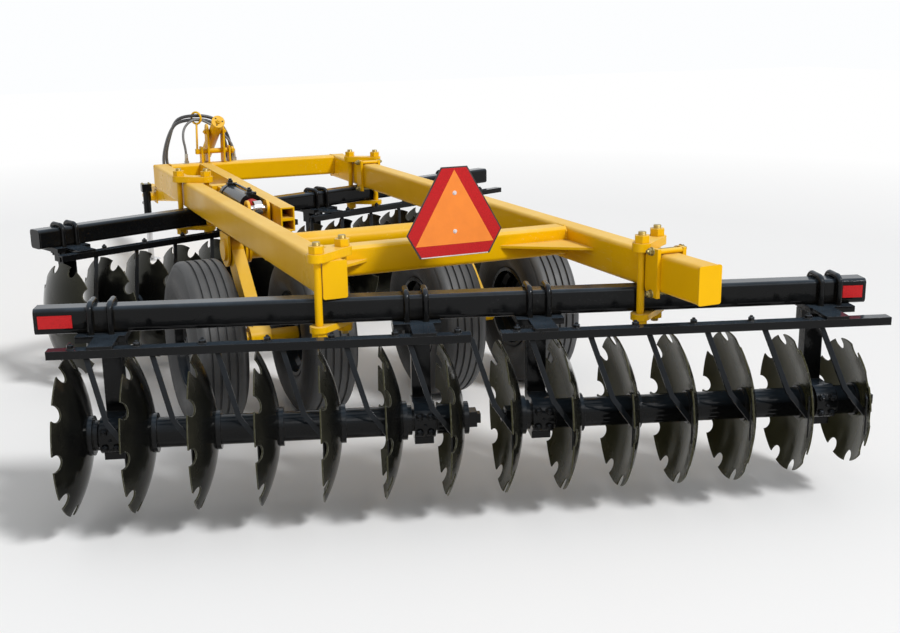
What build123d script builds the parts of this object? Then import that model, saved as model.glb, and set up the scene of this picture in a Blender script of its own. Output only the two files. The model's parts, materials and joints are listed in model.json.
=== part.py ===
from build123d import *
import os
from math import atan2, cos, degrees, hypot, radians, sin, sqrt, tan

# Working frame while building: X to the machine's right, Y forward, Z up, in millimetres.
# X = 0 is midway between the rails, Y = 0 the left rail's rear end, Z = 0 the ground.

# Main frame of rectangular tube
rail_width = 102
rail_height = 152
tube_wall = 9.5
tube_corner = 19
rail_offset = 610
rail_under = 865
left_rail_rear = 0
right_rail_rear = -745
rail_front = 3592
cap_thickness = 8
cross_depth = 102
cross_height = 127
rear_cross_face = 243
left_gusset = (110, 170)
right_gusset = (230, 330)
gusset_thickness = 12

# Gang bars under the rails
bar_size = 102
rear_bar_length = 3318
rear_bar_angle = -17.84
rear_bar_centre = (-110.6, -103.3)
front_bar_length = 3429
front_bar_angle = 20.53
front_bar_centre = (68.6, 2851.3)

# Clamps where bars cross rails
clamp_thickness = 34
clamp_lower_thickness = 25
clamp_width = 76
clamp_bolt_diameter = 31
clamp_bolt_gap = 3
clamp_nut_flats = 55
clamp_nut_height = 30
clamp_bolt_tail = 14
hole_clearance = 1
collar_plate = 16
collar_length = 64
collar_bar = 22
collar_gap = 6

# Notched disc blades and the gangs that carry them
disc_diameter = 610
end_disc_diameters = (559, 508)
disc_thickness = 6
dish_radius = 620
hub_flat = 80
notch_radius = 32
notch_depth = 45
notch_count = 10
gang_discs = 7
rear_first_hubs = (-1469, 207)
rear_pitches = (241, 233)
front_first_hubs = (-1445, 249)
front_pitches = (242, 242)
axle_drop = 486
gang_setback = 134
gang_bolt_side = 38
gang_bolt_play = 0.3
spool_radius = 59
spool_bore = 28
spool_flange_radius = 77
spool_flange = 18
spool_foot_radius = 68
spool_foot = 12
end_washer_radius = 65
end_washer = 20
gang_nut_side = 62
gang_nut = 34
gang_bolt_tail = 16

# Bearing hangers under the gang bars
bearing_offset = 86
bearing_width = 84
bearing_radius = 70
journal_radius = 45
journal_play = 0.3
journal_shoulder_gap = 8
hanger_width = 76
hanger_depth = 60
hanger_plate = (190, 190, 25)
rear_plate_shifts = (-25, -16, 4, 44)
front_plate_shifts = (0, -30, 0, 0)
hanger_collar = (112, 62)
hanger_tail = 100
hanger_shoe = (110, 40)
u_bolt_diameter = 24
u_bolt_spacing = 76
u_bolt_play = 0.5
u_bolt_tail = 14
u_nut_radius = 21
u_nut = 22

# Scraper bars and scrapers
angle_flange = 52
angle_lip = 32
angle_wall = 8
angle_bracket = (92, 12)
angle_reach = 196
rear_angle_overhangs = (110, 24, 89, 74)
front_angle_overhangs = (215, 24, 89, -10)
scraper_offset = 25
scraper_bar = 10
scraper_width = 20
scraper_tab = (60, 30)
scraper_lead = 50
scraper_knee = (126, 245)
blade_size = (6, 66, 150)
blade_reach = 225
blade_rise = 10
blade_gap = 13

# Transport wheels and lift
wheel_y = 1236
tyre_radius = 408
tyre_width = 268
tyre_tread = 212
tyre_rib_depth = 10
rim_radius = 196
rim_width = 214
rim_wall = 7
rim_flange = 18
wheel_half_spread = 268
hub_radius = 72
hub_length = 150
hub_play = 0.3
axle_radius = 34
axle_overhang = 62
rockshaft_y = 1650
rockshaft_drop = 85
rockshaft_radius = 57
shaft_play = 0.3
bearing_plate = 12
bearing_plate_radius = 88
leg_width = 64
leg_depth = 120
leg_end_depth = 104
leg_sleeve_radius = 78
axle_sleeve_radius = 58
side_gap = 6
lever_x = -491
lever_pin = (-50, 210)
lever_plate = 14
lever_gap = 86
lever_root = 150
lever_tip_radius = 44
lever_slot_play = 9

# Lift cylinder
cylinder_anchor = (2270, 120)
barrel_radius = 57
barrel_head_radius = 61
barrel_head = 46
barrel_end_gap = 80
rod_radius = 22
eye_radius = 40
eye_width = 40
pin_radius = 16
pin_play = 0.3
barrel_length = 470
mount_tube = 76
mount_lug = 14

# Centre beam above the rockshaft
beam_front_x = -338
beam_rear_x = -391
beam_width = 72
beam_height = 122
beam_wall = 8
beam_rear = 1390
stop_radius = 37
stop_length = 30
stop_gap = 3

# Mast, levelling screw, tongue and hitch
tongue_x = -255
tongue_size = 127
tongue_pin_y = 3690
tongue_pin_z = 796
tongue_front_y = 6120
tongue_front_z = 480
tongue_heel = 70
bracket_plate = 16
bracket_reach = 160
tongue_pin_radius = 20
mast_plate = 12
mast_half_gap = 46
mast_rear_y = 3500
mast_top_z = 1272
mast_ear = 62
mast_top_radius = 40
mast_pin_z = 1092
mast_pin_radius = 17
mast_pin_length = 216
screw_top = (3400, 1294)
screw_slope = 30
screw_tube_radius = 38
screw_tube_length = 500
screw_cap = 22
screw_rod_radius = 21
screw_length = 905
screw_eye_radius = 30
screw_pin_radius = 15
trunnion_radius = 15
lug_plate = 14
lug_radius = 38
lug_half_gap = 24
hitch_length = 210
hitch_width = 110
hitch_plate = 24
hitch_jaw = 58
hitch_bore = 33
hitch_bore_inset = 48

# Parking jack on the tongue
jack_y = 5560
jack_side = 80
jack_pivot_z = 530
jack_top_z = 640
jack_radius = 30
jack_inner_radius = 24
jack_foot_radius = 72
jack_foot = 12
jack_pivot_radius = 34
jack_crank_reach = 150
jack_head = (78, 78, 64)
jack_crank_radius = 9
jack_gap = 0.3
jack_plate = 10
jack_tube_drop = 200
jack_crank_stem = 46
jack_grip = 90

# Hoses, their holder and their couplers
hose_radius = 11
thin_hose_radius = 8
holder_rod_radius = 7
holder_ring_radius = 38
holder_boss_wall = 4
holder_ring_offset = (24, 84, 214)
fitting_radius = 15
fitting_length = 16
coupler_radius = 17
coupler_length = 90

# Emblem and reflectors
emblem_width = 420
emblem_height = 362
emblem_tip = 114
emblem_corner = (56, 98)
emblem_thickness = 3
emblem_x = -98
emblem_y = 0
emblem_base_z = 988
emblem_post = (50, 10)
reflector_lengths = (128, 84)
reflector_size = (4, 50)
reflector_inset = 16

rail_top = rail_under + rail_height
rockshaft_z = rail_under - rockshaft_drop
wheel_z = tyre_radius
rail_gap = 2 * rail_offset - rail_width


def square_tube(length, width, height, wall):
    # Open tube along X, centred
    outer = RectangleRounded(width, height, tube_corner)
    inner = RectangleRounded(width - 2 * wall, height - 2 * wall, tube_corner - wall)
    return extrude(Plane.YZ * (outer - inner), length / 2, both=True)


def tube_cap(width, height):
    # Plate that closes a tube's end, facing along X, centred
    return extrude(Plane.YZ * RectangleRounded(width, height, tube_corner), cap_thickness / 2, both=True)


def rod_x(radius, length, centre):
    return Pos(*centre) * Rot(0, 90, 0) * Cylinder(radius, length)


def turned(points):
    # Solid of revolution about X from (x, radius) points
    face = make_face(Polyline(*points, close=True))
    return revolve(face, Axis.X)


def hexagon(flats, height):
    return extrude(RegularPolygon(flats / sqrt(3), 6), height)


def between(start, end):
    # Place of a local X axis that runs from start to end, local Z as upright as it can be
    along = Vector(*end) - Vector(*start)
    side = Vector(0, 0, 1).cross(along)
    return Plane(origin=start, x_dir=along, z_dir=along.cross(side)).location


def bar_place(centre, angle):
    # Bar frame: origin at mid-length on the bar's top, X along the bar
    return Pos(centre[0], centre[1], rail_under) * Rot(0, 0, angle)


rear_place = bar_place(rear_bar_centre, rear_bar_angle)
front_place = bar_place(front_bar_centre, front_bar_angle)


def hub_positions(firsts, pitches):
    # Hub faces of the two gangs along the bar, hollow sides toward -X
    hubs = []
    for first, pitch in zip(firsts, pitches):
        hubs += [first + pitch * index for index in range(gang_discs)]
    return hubs


def rails():
    built = {}
    for name, side, rear in (("left_rail", -1, left_rail_rear), ("right_rail", 1, right_rail_rear)):
        length = rail_front - rear - 2 * cap_thickness
        tube = Rot(0, 0, 90) * square_tube(length, rail_width, rail_height, tube_wall)
        middle = (rail_front + rear) / 2
        built[name] = [Pos(side * rail_offset, middle, rail_under + rail_height / 2) * tube]
    return built


def cross_tubes():
    tube = square_tube(rail_gap, cross_depth, cross_height, tube_wall)
    level = rail_top - cross_height / 2
    rear = Pos(0, rear_cross_face + cross_depth / 2, level) * tube
    for plate in frame_gussets():
        rear += plate
    front = Pos(0, rail_front - cross_depth / 2, level) * tube
    return {"rear_cross_tube": [rear], "front_cross_tube": [front]}


def gang_bars():
    built = {}
    for name, place, length in (
        ("rear_gang_bar", rear_place, rear_bar_length),
        ("front_gang_bar", front_place, front_bar_length),
    ):
        tube = square_tube(length - 2 * cap_thickness, bar_size, bar_size, tube_wall)
        built[name] = [place * Pos(0, 0, -bar_size / 2) * tube]
    return built


def tube_caps():
    rail_caps = []
    rail_cap = Rot(0, 0, 90) * tube_cap(rail_width, rail_height)
    level = rail_under + rail_height / 2
    for side, rear in ((-1, left_rail_rear), (1, right_rail_rear)):
        for y in (rear + cap_thickness / 2, rail_front - cap_thickness / 2):
            rail_caps.append(Pos(side * rail_offset, y, level) * rail_cap)
    bar_caps = []
    bar_cap = tube_cap(bar_size, bar_size)
    for place, length in ((rear_place, rear_bar_length), (front_place, front_bar_length)):
        reach = (length - cap_thickness) / 2
        for x in (-reach, reach):
            bar_caps.append(place * Pos(x, 0, -bar_size / 2) * bar_cap)
    return {"rail_caps": rail_caps, "bar_caps": bar_caps}


def frame_gussets():
    # Flat corner plates between the rear cross tube and the rails, welded to the tube
    level = rail_top - cross_height / 2
    inner = rail_offset - rail_width / 2
    plates = []
    for side, (rail_leg, cross_leg) in ((-1, left_gusset), (1, right_gusset)):
        outline = Polyline(
            (side * inner, rear_cross_face),
            (side * inner, rear_cross_face - rail_leg),
            (side * (inner - cross_leg), rear_cross_face),
            close=True,
        )
        plate = extrude(make_face(outline), gusset_thickness)
        plates.append(Pos(0, 0, level - gusset_thickness / 2) * plate)
    return plates


def clamp_crossings():
    # Crossing centre of each bar and rail, with the offset of its two bolts
    reach = rail_width / 2 + clamp_bolt_diameter / 2 + clamp_bolt_gap
    across = bar_size / 2 + clamp_bolt_diameter / 2 + clamp_bolt_gap
    crossings = []
    for centre, angle in ((rear_bar_centre, rear_bar_angle), (front_bar_centre, front_bar_angle)):
        turn = radians(angle)
        step = (across - reach * sin(abs(turn))) / cos(turn)
        slant = 1 if angle < 0 else -1
        for side in (-1, 1):
            x = side * rail_offset
            y = centre[1] + (x - centre[0]) * tan(turn)
            crossings.append(((x, y), (reach, slant * step)))
    return crossings


def clamps():
    plates = []
    bolts = []
    for (x, y), (dx, dy) in clamp_crossings():
        length = 2 * hypot(dx, dy)
        turn = Rot(0, 0, degrees(atan2(dy, dx)))
        outline = SlotCenterToCenter(length, clamp_width)
        hole = Cylinder(clamp_bolt_diameter / 2 + hole_clearance, 4 * clamp_thickness)
        for level, thickness in (
            (rail_top, clamp_thickness),
            (rail_under - bar_size - clamp_lower_thickness, clamp_lower_thickness),
        ):
            plate = extrude(outline, thickness)
            for end in (-length / 2, length / 2):
                plate -= Pos(end, 0, 0) * hole
            plates.append(Pos(x, y, level) * turn * plate)
        top = rail_top + clamp_thickness
        bottom = rail_under - bar_size - clamp_lower_thickness
        low = bottom - clamp_nut_height - clamp_bolt_tail
        high = top + clamp_nut_height + clamp_bolt_tail
        for sign in (-1, 1):
            shank = Pos(0, 0, (low + high) / 2) * Cylinder(clamp_bolt_diameter / 2, high - low)
            nut = hexagon(clamp_nut_flats, clamp_nut_height)
            bolt = shank + Pos(0, 0, top) * nut + Pos(0, 0, bottom - clamp_nut_height) * nut
            bolts.append(Pos(x + sign * dx, y + sign * dy, 0) * bolt)
    return {"clamp_plates": plates, "clamp_bolts": bolts}


def stop_collars():
    # Rings round the right rail that stop each clamp from creeping back
    outer = Box(rail_width + 2 * collar_plate, collar_length, rail_height + 2 * collar_bar)
    inner = Box(rail_width, collar_length + 2, rail_height)
    rings = []
    for ((x, y), (dx, dy)), angle in zip(clamp_crossings(), (rear_bar_angle,) * 2 + (front_bar_angle,) * 2):
        if x > 0:
            turn = radians(abs(angle))
            past_bar = bar_size / 2 / cos(turn) + (rail_width / 2 + collar_plate) * tan(turn)
            past_clamp = abs(dy) + clamp_width / 2
            ring_y = y - max(past_bar, past_clamp) - collar_gap - collar_length / 2
            rings.append(Pos(x, ring_y, rail_under + rail_height / 2) * (outer - inner))
    return rings


def disc(diameter):
    # Spherical blade, flat hub face at X = 0, hollow toward -X, U notches round the rim
    rim = diameter / 2
    inner = dish_radius - disc_thickness
    middle = -sqrt(dish_radius**2 - hub_flat**2)

    def dish(radius, height):
        return (middle + sqrt(radius**2 - height**2), height)

    share = inner / dish_radius
    mean = (rim + hub_flat) / 2
    outer_rim = dish(dish_radius, rim)
    inner_rim = dish(inner, rim * share)
    hollow = dish(inner, hub_flat)
    edges = [
        Line((0, 0), (0, hub_flat)),
        ThreePointArc((0, hub_flat), dish(dish_radius, mean), outer_rim),
        Line(outer_rim, inner_rim),
        ThreePointArc(inner_rim, dish(inner, mean), hollow),
        Line(hollow, (hollow[0], 0)),
        Line((hollow[0], 0), (0, 0)),
    ]
    blade = revolve(make_face(edges), Axis.X)
    hole = gang_bolt_side + 2 * gang_bolt_play
    cuts = [Box(4 * disc_thickness, hole, hole)]
    for index in range(notch_count):
        turn = Rot(360 * (index + 0.5) / notch_count, 0, 0)
        seat = rim - notch_depth + notch_radius
        cuts.append(turn * rod_x(notch_radius, 2 * rim, (0, 0, seat)))
    return blade - cuts


def hub_thickness():
    # Blade thickness along the axis at its flat hub
    inner = dish_radius - disc_thickness
    return sqrt(dish_radius**2 - hub_flat**2) - sqrt(inner**2 - hub_flat**2)


def spool(pitch, carries_bearing):
    # Cast spacer between two blades, its wide flange on the domed side
    length = pitch - hub_thickness()
    profile = [
        (0, spool_bore),
        (0, spool_flange_radius),
        (spool_flange, spool_flange_radius),
        (spool_flange, spool_radius),
    ]
    if carries_bearing:
        half = bearing_width / 2 + journal_shoulder_gap
        for x, inward in ((bearing_offset - half, True), (bearing_offset + half, False)):
            steps = [(x, spool_radius), (x, journal_radius)]
            profile += steps if inward else steps[::-1]
    profile += [
        (length - spool_foot, spool_radius),
        (length - spool_foot, spool_foot_radius),
        (length, spool_foot_radius),
        (length, spool_bore),
    ]
    return turned(profile)


def gang_bolt(first, last):
    # Square through bolt with a washer and a square nut at each end
    hollow = first - hub_thickness()
    stack = end_washer + gang_nut + gang_bolt_tail
    start = hollow - stack
    end = last + stack
    bolt = Pos((start + end) / 2, 0, 0) * Box(end - start, gang_bolt_side, gang_bolt_side)
    for face, way in ((hollow, -1), (last, 1)):
        bolt += rod_x(end_washer_radius, end_washer, (face + way * end_washer / 2, 0, 0))
        nut_x = face + way * (end_washer + gang_nut / 2)
        bolt += Pos(nut_x, 0, 0) * Box(gang_nut, gang_nut_side, gang_nut_side)
    return bolt


def hanger_positions(hubs):
    # Bearing centres: behind the first and the sixth blade of each gang
    return [hubs[index] + bearing_offset for index in (0, 5, gang_discs, gang_discs + 5)]


def gang(hubs, pitch, diameters):
    # Blades and spools of one gang on its axis, in the bar frame
    drop = Pos(0, -gang_setback, -axle_drop)
    blades = []
    blanks = {}
    for hub, diameter in zip(hubs, diameters):
        if diameter not in blanks:
            blanks[diameter] = disc(diameter)
        blades.append(drop * Pos(hub, 0, 0) * blanks[diameter])
    plain = spool(pitch, False)
    bearing = spool(pitch, True)
    spools = []
    for index, hub in enumerate(hubs[:-1]):
        shape = bearing if index in (0, 5) else plain
        spools.append(drop * Pos(hub, 0, 0) * shape)
    spools.append(drop * gang_bolt(hubs[0], hubs[-1]))
    return blades, spools


def hanger(plate_shift):
    # Clamp plate, standard, bearing housing and scraper bar bracket welded in one, bearing at X = 0
    length, width, thickness = hanger_plate
    top = -bar_size
    under = top - thickness
    plate = Pos(plate_shift, 0, top - thickness / 2) * Box(length, width, thickness)
    for x in (-u_bolt_spacing / 2, u_bolt_spacing / 2):
        for y in (-u_leg_offset(), u_leg_offset()):
            hole = Cylinder(u_bolt_diameter / 2 + hole_clearance, 4 * thickness)
            plate -= Pos(plate_shift + x, y, top) * hole
    bracket_length, bracket_thickness = angle_bracket
    bracket_rear = -angle_reach - angle_flange
    bracket_front = 1 - width / 2
    bracket = Pos(0, (bracket_rear + bracket_front) / 2, top - bracket_thickness / 2) * Box(
        bracket_length, bracket_front - bracket_rear, bracket_thickness
    )
    foot = -axle_drop - hanger_tail
    standard = Pos(0, 0, (under + foot) / 2) * Box(hanger_width, hanger_depth, under - foot)
    collar_length, collar_height = hanger_collar
    collar = Pos(0, 0, under - collar_height / 2) * Box(collar_length, hanger_depth, collar_height)
    housing = rod_x(bearing_radius, bearing_width, (0, -gang_setback, -axle_drop))
    pad = Pos(0, -gang_setback / 2, -axle_drop) * Box(bearing_width, gang_setback, 1.7 * bearing_radius)
    shoe_depth, shoe_height = hanger_shoe
    shoe = Pos(0, -(hanger_depth + shoe_depth) / 2, foot + shoe_height / 2) * Box(
        hanger_width, shoe_depth, shoe_height
    )
    bore = rod_x(journal_radius + journal_play, 2 * bearing_width, (0, -gang_setback, -axle_drop))
    return plate + bracket + standard + collar + housing + pad + shoe - bore


def u_leg_offset():
    return bar_size / 2 + u_bolt_play + u_bolt_diameter / 2


def u_bolt():
    # Round bar over the gang bar, its nuts under the hanger's plate
    side = u_leg_offset()
    crown = u_bolt_play + u_bolt_diameter / 2
    seat = -bar_size - hanger_plate[2]
    tail = seat - u_nut - u_bolt_tail
    path = FilletPolyline(
        (0, -side, tail), (0, -side, crown), (0, side, crown), (0, side, tail), radius=tube_corner + crown
    )
    section = Plane(origin=(0, -side, tail), z_dir=(0, 0, 1)) * Circle(u_bolt_diameter / 2)
    bolt = sweep(section, path)
    for y in (-side, side):
        bolt += Pos(0, y, seat - u_nut) * hexagon(2 * u_nut_radius * cos(radians(30)), u_nut)
    return bolt


def angle_top():
    return -bar_size - angle_bracket[1]


def angle_bar(start, end):
    # Angle iron under the hangers' brackets, lip down along its rear edge
    length = end - start
    middle = (start + end) / 2
    flange = Pos(middle, -angle_reach - angle_flange / 2, angle_top() - angle_wall / 2)
    lip = Pos(middle, -angle_reach - angle_flange + angle_wall / 2, angle_top() - angle_lip / 2)
    return flange * Box(length, angle_flange, angle_wall) + lip * Box(length, angle_wall, angle_lip)


def scraper(pitch):
    # Bent bar under the angle iron and a blade inside the hollow of the disc at X = 0
    inner = dish_radius - disc_thickness
    middle = -sqrt(dish_radius**2 - hub_flat**2)
    depth = middle + sqrt(inner**2 - blade_reach**2 - blade_rise**2)
    lean = atan2(blade_reach, depth - middle)
    inset = blade_gap + blade_size[0] / 2
    blade_x = depth - inset * cos(lean)
    blade_y = -gang_setback - blade_reach + inset * sin(lean)
    blade_z = -axle_drop + blade_rise
    blade = Pos(blade_x, blade_y, blade_z) * Rot(0, 0, -degrees(lean)) * Box(*blade_size)
    seat = angle_top() - angle_wall
    tab_length, tab_width = scraper_tab
    start = Vector(-pitch - scraper_offset, -angle_reach - (angle_flange - angle_wall) / 2, 0)
    tab = Pos(start.X, start.Y, seat - scraper_bar / 2) * Box(tab_length, tab_width, scraper_bar)
    root = Vector(start.X, start.Y, seat - scraper_bar)
    fall = Vector(0, blade_y - root.Y, blade_z - root.Z)
    slant = fall.length / (root.Z - blade_z)
    path = FilletPolyline(
        (0, 0),
        (scraper_lead, 0),
        (scraper_knee[0], -scraper_knee[1] * slant),
        (blade_x - start.X, -fall.length),
        radius=1.2 * scraper_width,
    )
    flat = trace(path, line_width=scraper_width)
    plane = Plane(origin=root, x_dir=(1, 0, 0), z_dir=Vector(1, 0, 0).cross(-1 * fall))
    arm = extrude(plane * flat, scraper_bar / 2, both=True)
    arm = arm.cut(Pos(root.X, root.Y, seat + 50) * Box(2 * pitch, 2 * pitch, 100))
    return tab + arm + blade


def mirrored(shapes):
    return [mirror(shape, Plane.YZ) for shape in shapes]


def gang_assembly(prefix, place, firsts, pitches, diameters, plate_shifts, overhangs, flip):
    # Everything under one gang bar; flip turns the hollow sides toward +X
    hubs = hub_positions(firsts, pitches)
    left = gang(hubs[:gang_discs], pitches[0], diameters[:gang_discs])
    right = gang(hubs[gang_discs:], pitches[1], diameters[gang_discs:])
    hang = []
    u_bolts = []
    bent = u_bolt()
    for x, shift in zip(hanger_positions(hubs), plate_shifts):
        hang.append(Pos(x, 0, 0) * hanger(shift))
        for side in (-u_bolt_spacing / 2, u_bolt_spacing / 2):
            u_bolts.append(Pos(x + shift + side, 0, 0) * bent)
    bars = [
        angle_bar(hubs[0] - overhangs[0], hubs[gang_discs - 1] + overhangs[1]),
        angle_bar(hubs[gang_discs] - overhangs[2], hubs[-1] + overhangs[3]),
    ]
    arms = []
    for before, hub in zip(hubs, hubs[1:]):
        arms.append(Pos(hub, 0, 0) * scraper(hub - before))
    names = ("left", "right") if not flip else ("right", "left")
    built = {
        prefix + "_" + names[0] + "_discs": left[0],
        prefix + "_" + names[0] + "_spools": left[1],
        prefix + "_" + names[1] + "_discs": right[0],
        prefix + "_" + names[1] + "_spools": right[1],
        prefix + "_hangers": hang,
        prefix + "_u_bolts": u_bolts,
        prefix + "_scraper_bars": bars,
        prefix + "_scrapers": arms,
    }
    for name, shapes in built.items():
        turned_shapes = mirrored(shapes) if flip else shapes
        built[name] = [place * shape for shape in turned_shapes]
    return built


def wheel_positions():
    centres = []
    for side in (-1, 1):
        for step in (-1, 1):
            centres.append((side * rail_offset + step * wheel_half_spread, step))
    return centres


def tyre():
    # Ribbed implement tyre on the X axis
    half = tyre_width / 2
    tread = tyre_tread / 2
    shoulder = tyre_radius - 26
    bead = rim_width / 2 - rim_wall - 0.5
    clinch = rim_radius + rim_flange + 2
    edges = [
        Line((-bead, clinch), (-bead, rim_radius)),
        Line((-bead, rim_radius), (bead, rim_radius)),
        Line((bead, rim_radius), (bead, clinch)),
        ThreePointArc((bead, clinch), (half, (rim_radius + shoulder) / 2), (tread, shoulder)),
        ThreePointArc((tread, shoulder), (tread - 10, tyre_radius - 8), (tread - 30, tyre_radius)),
        Line((tread - 30, tyre_radius), (30 - tread, tyre_radius)),
        ThreePointArc((30 - tread, tyre_radius), (10 - tread, tyre_radius - 8), (-tread, shoulder)),
        ThreePointArc((-tread, shoulder), (-half, (rim_radius + shoulder) / 2), (-bead, clinch)),
    ]
    body = revolve(make_face(edges), Axis.X)
    groove = (tyre_tread - 60) / 7
    for index in (-1.5, -0.5, 0.5, 1.5):
        ring = Rot(0, 90, 0) * Cylinder(tyre_radius + 1, groove * 0.55)
        ring -= Rot(0, 90, 0) * Cylinder(tyre_radius - tyre_rib_depth, groove)
        body -= Pos(index * groove * 1.75, 0, 0) * ring
    return body


def wheel():
    # Rim, dished disc and hub; the disc's dome and cap point along +X
    half = rim_width / 2
    well = rim_radius - 26
    rim_points = [
        (-half, rim_radius + rim_flange),
        (-half, rim_radius),
        (-half + 40, rim_radius - rim_wall),
        (-half + 60, well),
        (half - 60, well),
        (half - 40, rim_radius - rim_wall),
        (half, rim_radius),
        (half, rim_radius + rim_flange),
        (half - rim_wall, rim_radius + rim_flange),
        (half - rim_wall, rim_radius - 0.3),
        (half - 44, rim_radius - 0.3),
        (half - 58, well + rim_wall),
        (58 - half, well + rim_wall),
        (44 - half, rim_radius - 0.3),
        (rim_wall - half, rim_radius - 0.3),
        (rim_wall - half, rim_radius + rim_flange),
    ]
    shell = turned(rim_points)
    web = turned([
        (18, hub_radius - 6),
        (26, hub_radius - 6),
        (26, hub_radius + 34),
        (2, well - 24),
        (2, well + 2),
        (-6, well + 2),
        (-6, well - 28),
        (18, hub_radius + 30),
    ])
    hub = rod_x(hub_radius, hub_length - 90, (10, 0, 0)) + rod_x(hub_radius - 22, hub_length, (0, 0, 0))
    hub -= rod_x(axle_radius + hub_play, 2 * hub_length, (0, 0, 0))
    cap = rod_x(hub_radius - 22, 10, (hub_length / 2 + 5, 0, 0))
    return shell + web + hub + cap


def wheels():
    built = {}
    rubber = tyre()
    metal = wheel()
    for index, (x, step) in enumerate(wheel_positions(), start=1):
        face = Rot(0, 0, 0 if step > 0 else 180)
        place = Pos(x, wheel_y, wheel_z) * face
        built["tyre_%d" % index] = [place * rubber]
        built["wheel_%d" % index] = [place * metal]
    return built


def rockshaft():
    # Cross shaft under the rails with the two plates of the lift lever
    length = 2 * (rail_offset + rail_width / 2 + bearing_plate)
    shaft = rod_x(rockshaft_radius, length, (0, rockshaft_y, rockshaft_z))
    pin_y = rockshaft_y + lever_pin[0]
    pin_z = rockshaft_z + lever_pin[1]
    lean = degrees(atan2(lever_pin[0], lever_pin[1]))
    reach = hypot(*lever_pin)
    for side in (-1, 1):
        root = Pos(0, 0, 0) * Circle(lever_root / 2)
        tip = Pos(0, reach) * Circle(lever_tip_radius)
        outline = make_hull(root.edges() + tip.edges())
        plate = extrude(outline, lever_plate / 2, both=True)
        plate -= Pos(0, reach, 0) * Cylinder(pin_radius + lever_slot_play, 4 * lever_plate)
        upright = Plane(
            origin=(lever_x + side * (lever_gap + lever_plate) / 2, rockshaft_y, rockshaft_z),
            x_dir=(0, 1, 0),
            z_dir=(1, 0, 0),
        )
        shaft += upright.location * Rot(0, 0, -lean) * plate
    return [shaft]


def wheel_legs():
    # Leg under each rail from the rockshaft to the axle of a wheel pair
    legs = []
    start = Vector(0, rockshaft_y, rockshaft_z)
    end = Vector(0, wheel_y, wheel_z)
    run = end - start
    upright = Plane(origin=(0, 0, 0), x_dir=(0, 1, 0), z_dir=(1, 0, 0))
    turn = degrees(atan2(run.Z, run.Y))
    outline = Polyline(
        (0, -leg_depth / 2),
        (run.length, -leg_end_depth / 2),
        (run.length, leg_end_depth / 2),
        (0, leg_depth / 2),
        close=True,
    )
    beam = extrude(make_face(outline), leg_width / 2, both=True)
    beam = Pos(0, rockshaft_y, rockshaft_z) * upright.location * Rot(0, 0, turn) * beam
    for side in (-1, 1):
        x = side * rail_offset
        leg = Pos(x, 0, 0) * beam
        leg += rod_x(leg_sleeve_radius, leg_width, (x, rockshaft_y, rockshaft_z))
        leg += rod_x(axle_sleeve_radius, leg_width + 40, (x, wheel_y, wheel_z))
        leg -= rod_x(rockshaft_radius, 4 * leg_width, (x, rockshaft_y, rockshaft_z))
        span = 2 * (wheel_half_spread + axle_overhang)
        leg += rod_x(axle_radius, span, (x, wheel_y, wheel_z))
        legs.append(leg)
    return legs


def rockshaft_bearings():
    # Plates hanging from the rails either side of each leg, and one under the centre beam
    spots = []
    for side in (-1, 1):
        for step in (-1, 1):
            edge = rail_width / 2 - bearing_plate / 2
            spots.append((side * rail_offset + step * edge, rail_under))
    spots.append((beam_centre(rockshaft_y), rail_top - beam_height))
    plates = []
    for x, top in spots:
        height = top - rockshaft_z
        plate = Pos(x, rockshaft_y, rockshaft_z + height / 2) * Box(
            bearing_plate, 2 * bearing_plate_radius, height
        )
        plate += rod_x(bearing_plate_radius, bearing_plate, (x, rockshaft_y, rockshaft_z))
        plate = plate.cut(Pos(x, rockshaft_y, top + bearing_plate_radius) * Box(
            4 * bearing_plate, 4 * bearing_plate_radius, 2 * bearing_plate_radius
        ))
        plate -= rod_x(rockshaft_radius + shaft_play, 4 * bearing_plate, (x, rockshaft_y, rockshaft_z))
        plates.append(plate)
    return plates


def beam_centre(y):
    # The beam runs a little askew in plan
    share = (y - beam_rear) / (rail_front - cross_depth - beam_rear)
    return beam_rear_x + (beam_front_x - beam_rear_x) * share


def centre_beam():
    # Two square tubes welded one on the other, from the front cross tube back over the rockshaft
    front = rail_front - cross_depth
    cell_height = beam_height / 2

    def bar(half_width, height, reach):
        outline = Polyline(
            (beam_centre(front + reach) - half_width, front + reach),
            (beam_centre(front + reach) + half_width, front + reach),
            (beam_centre(beam_rear - reach) + half_width, beam_rear - reach),
            (beam_centre(beam_rear - reach) - half_width, beam_rear - reach),
            close=True,
        )
        return extrude(make_face(outline), height)

    beam = Pos(0, 0, rail_top - beam_height) * bar(beam_width / 2, beam_height, 0)
    cell = bar(beam_width / 2 - beam_wall, cell_height - 2 * beam_wall, 1)
    for level in (beam_wall, cell_height + beam_wall):
        beam -= Pos(0, 0, rail_top - beam_height + level) * cell
    return [beam]


def cylinder_points():
    anchor = Vector(lever_x, cylinder_anchor[0], rail_under + cylinder_anchor[1])
    eye = Vector(lever_x, rockshaft_y + lever_pin[0], rockshaft_z + lever_pin[1])
    return anchor, eye


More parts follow.
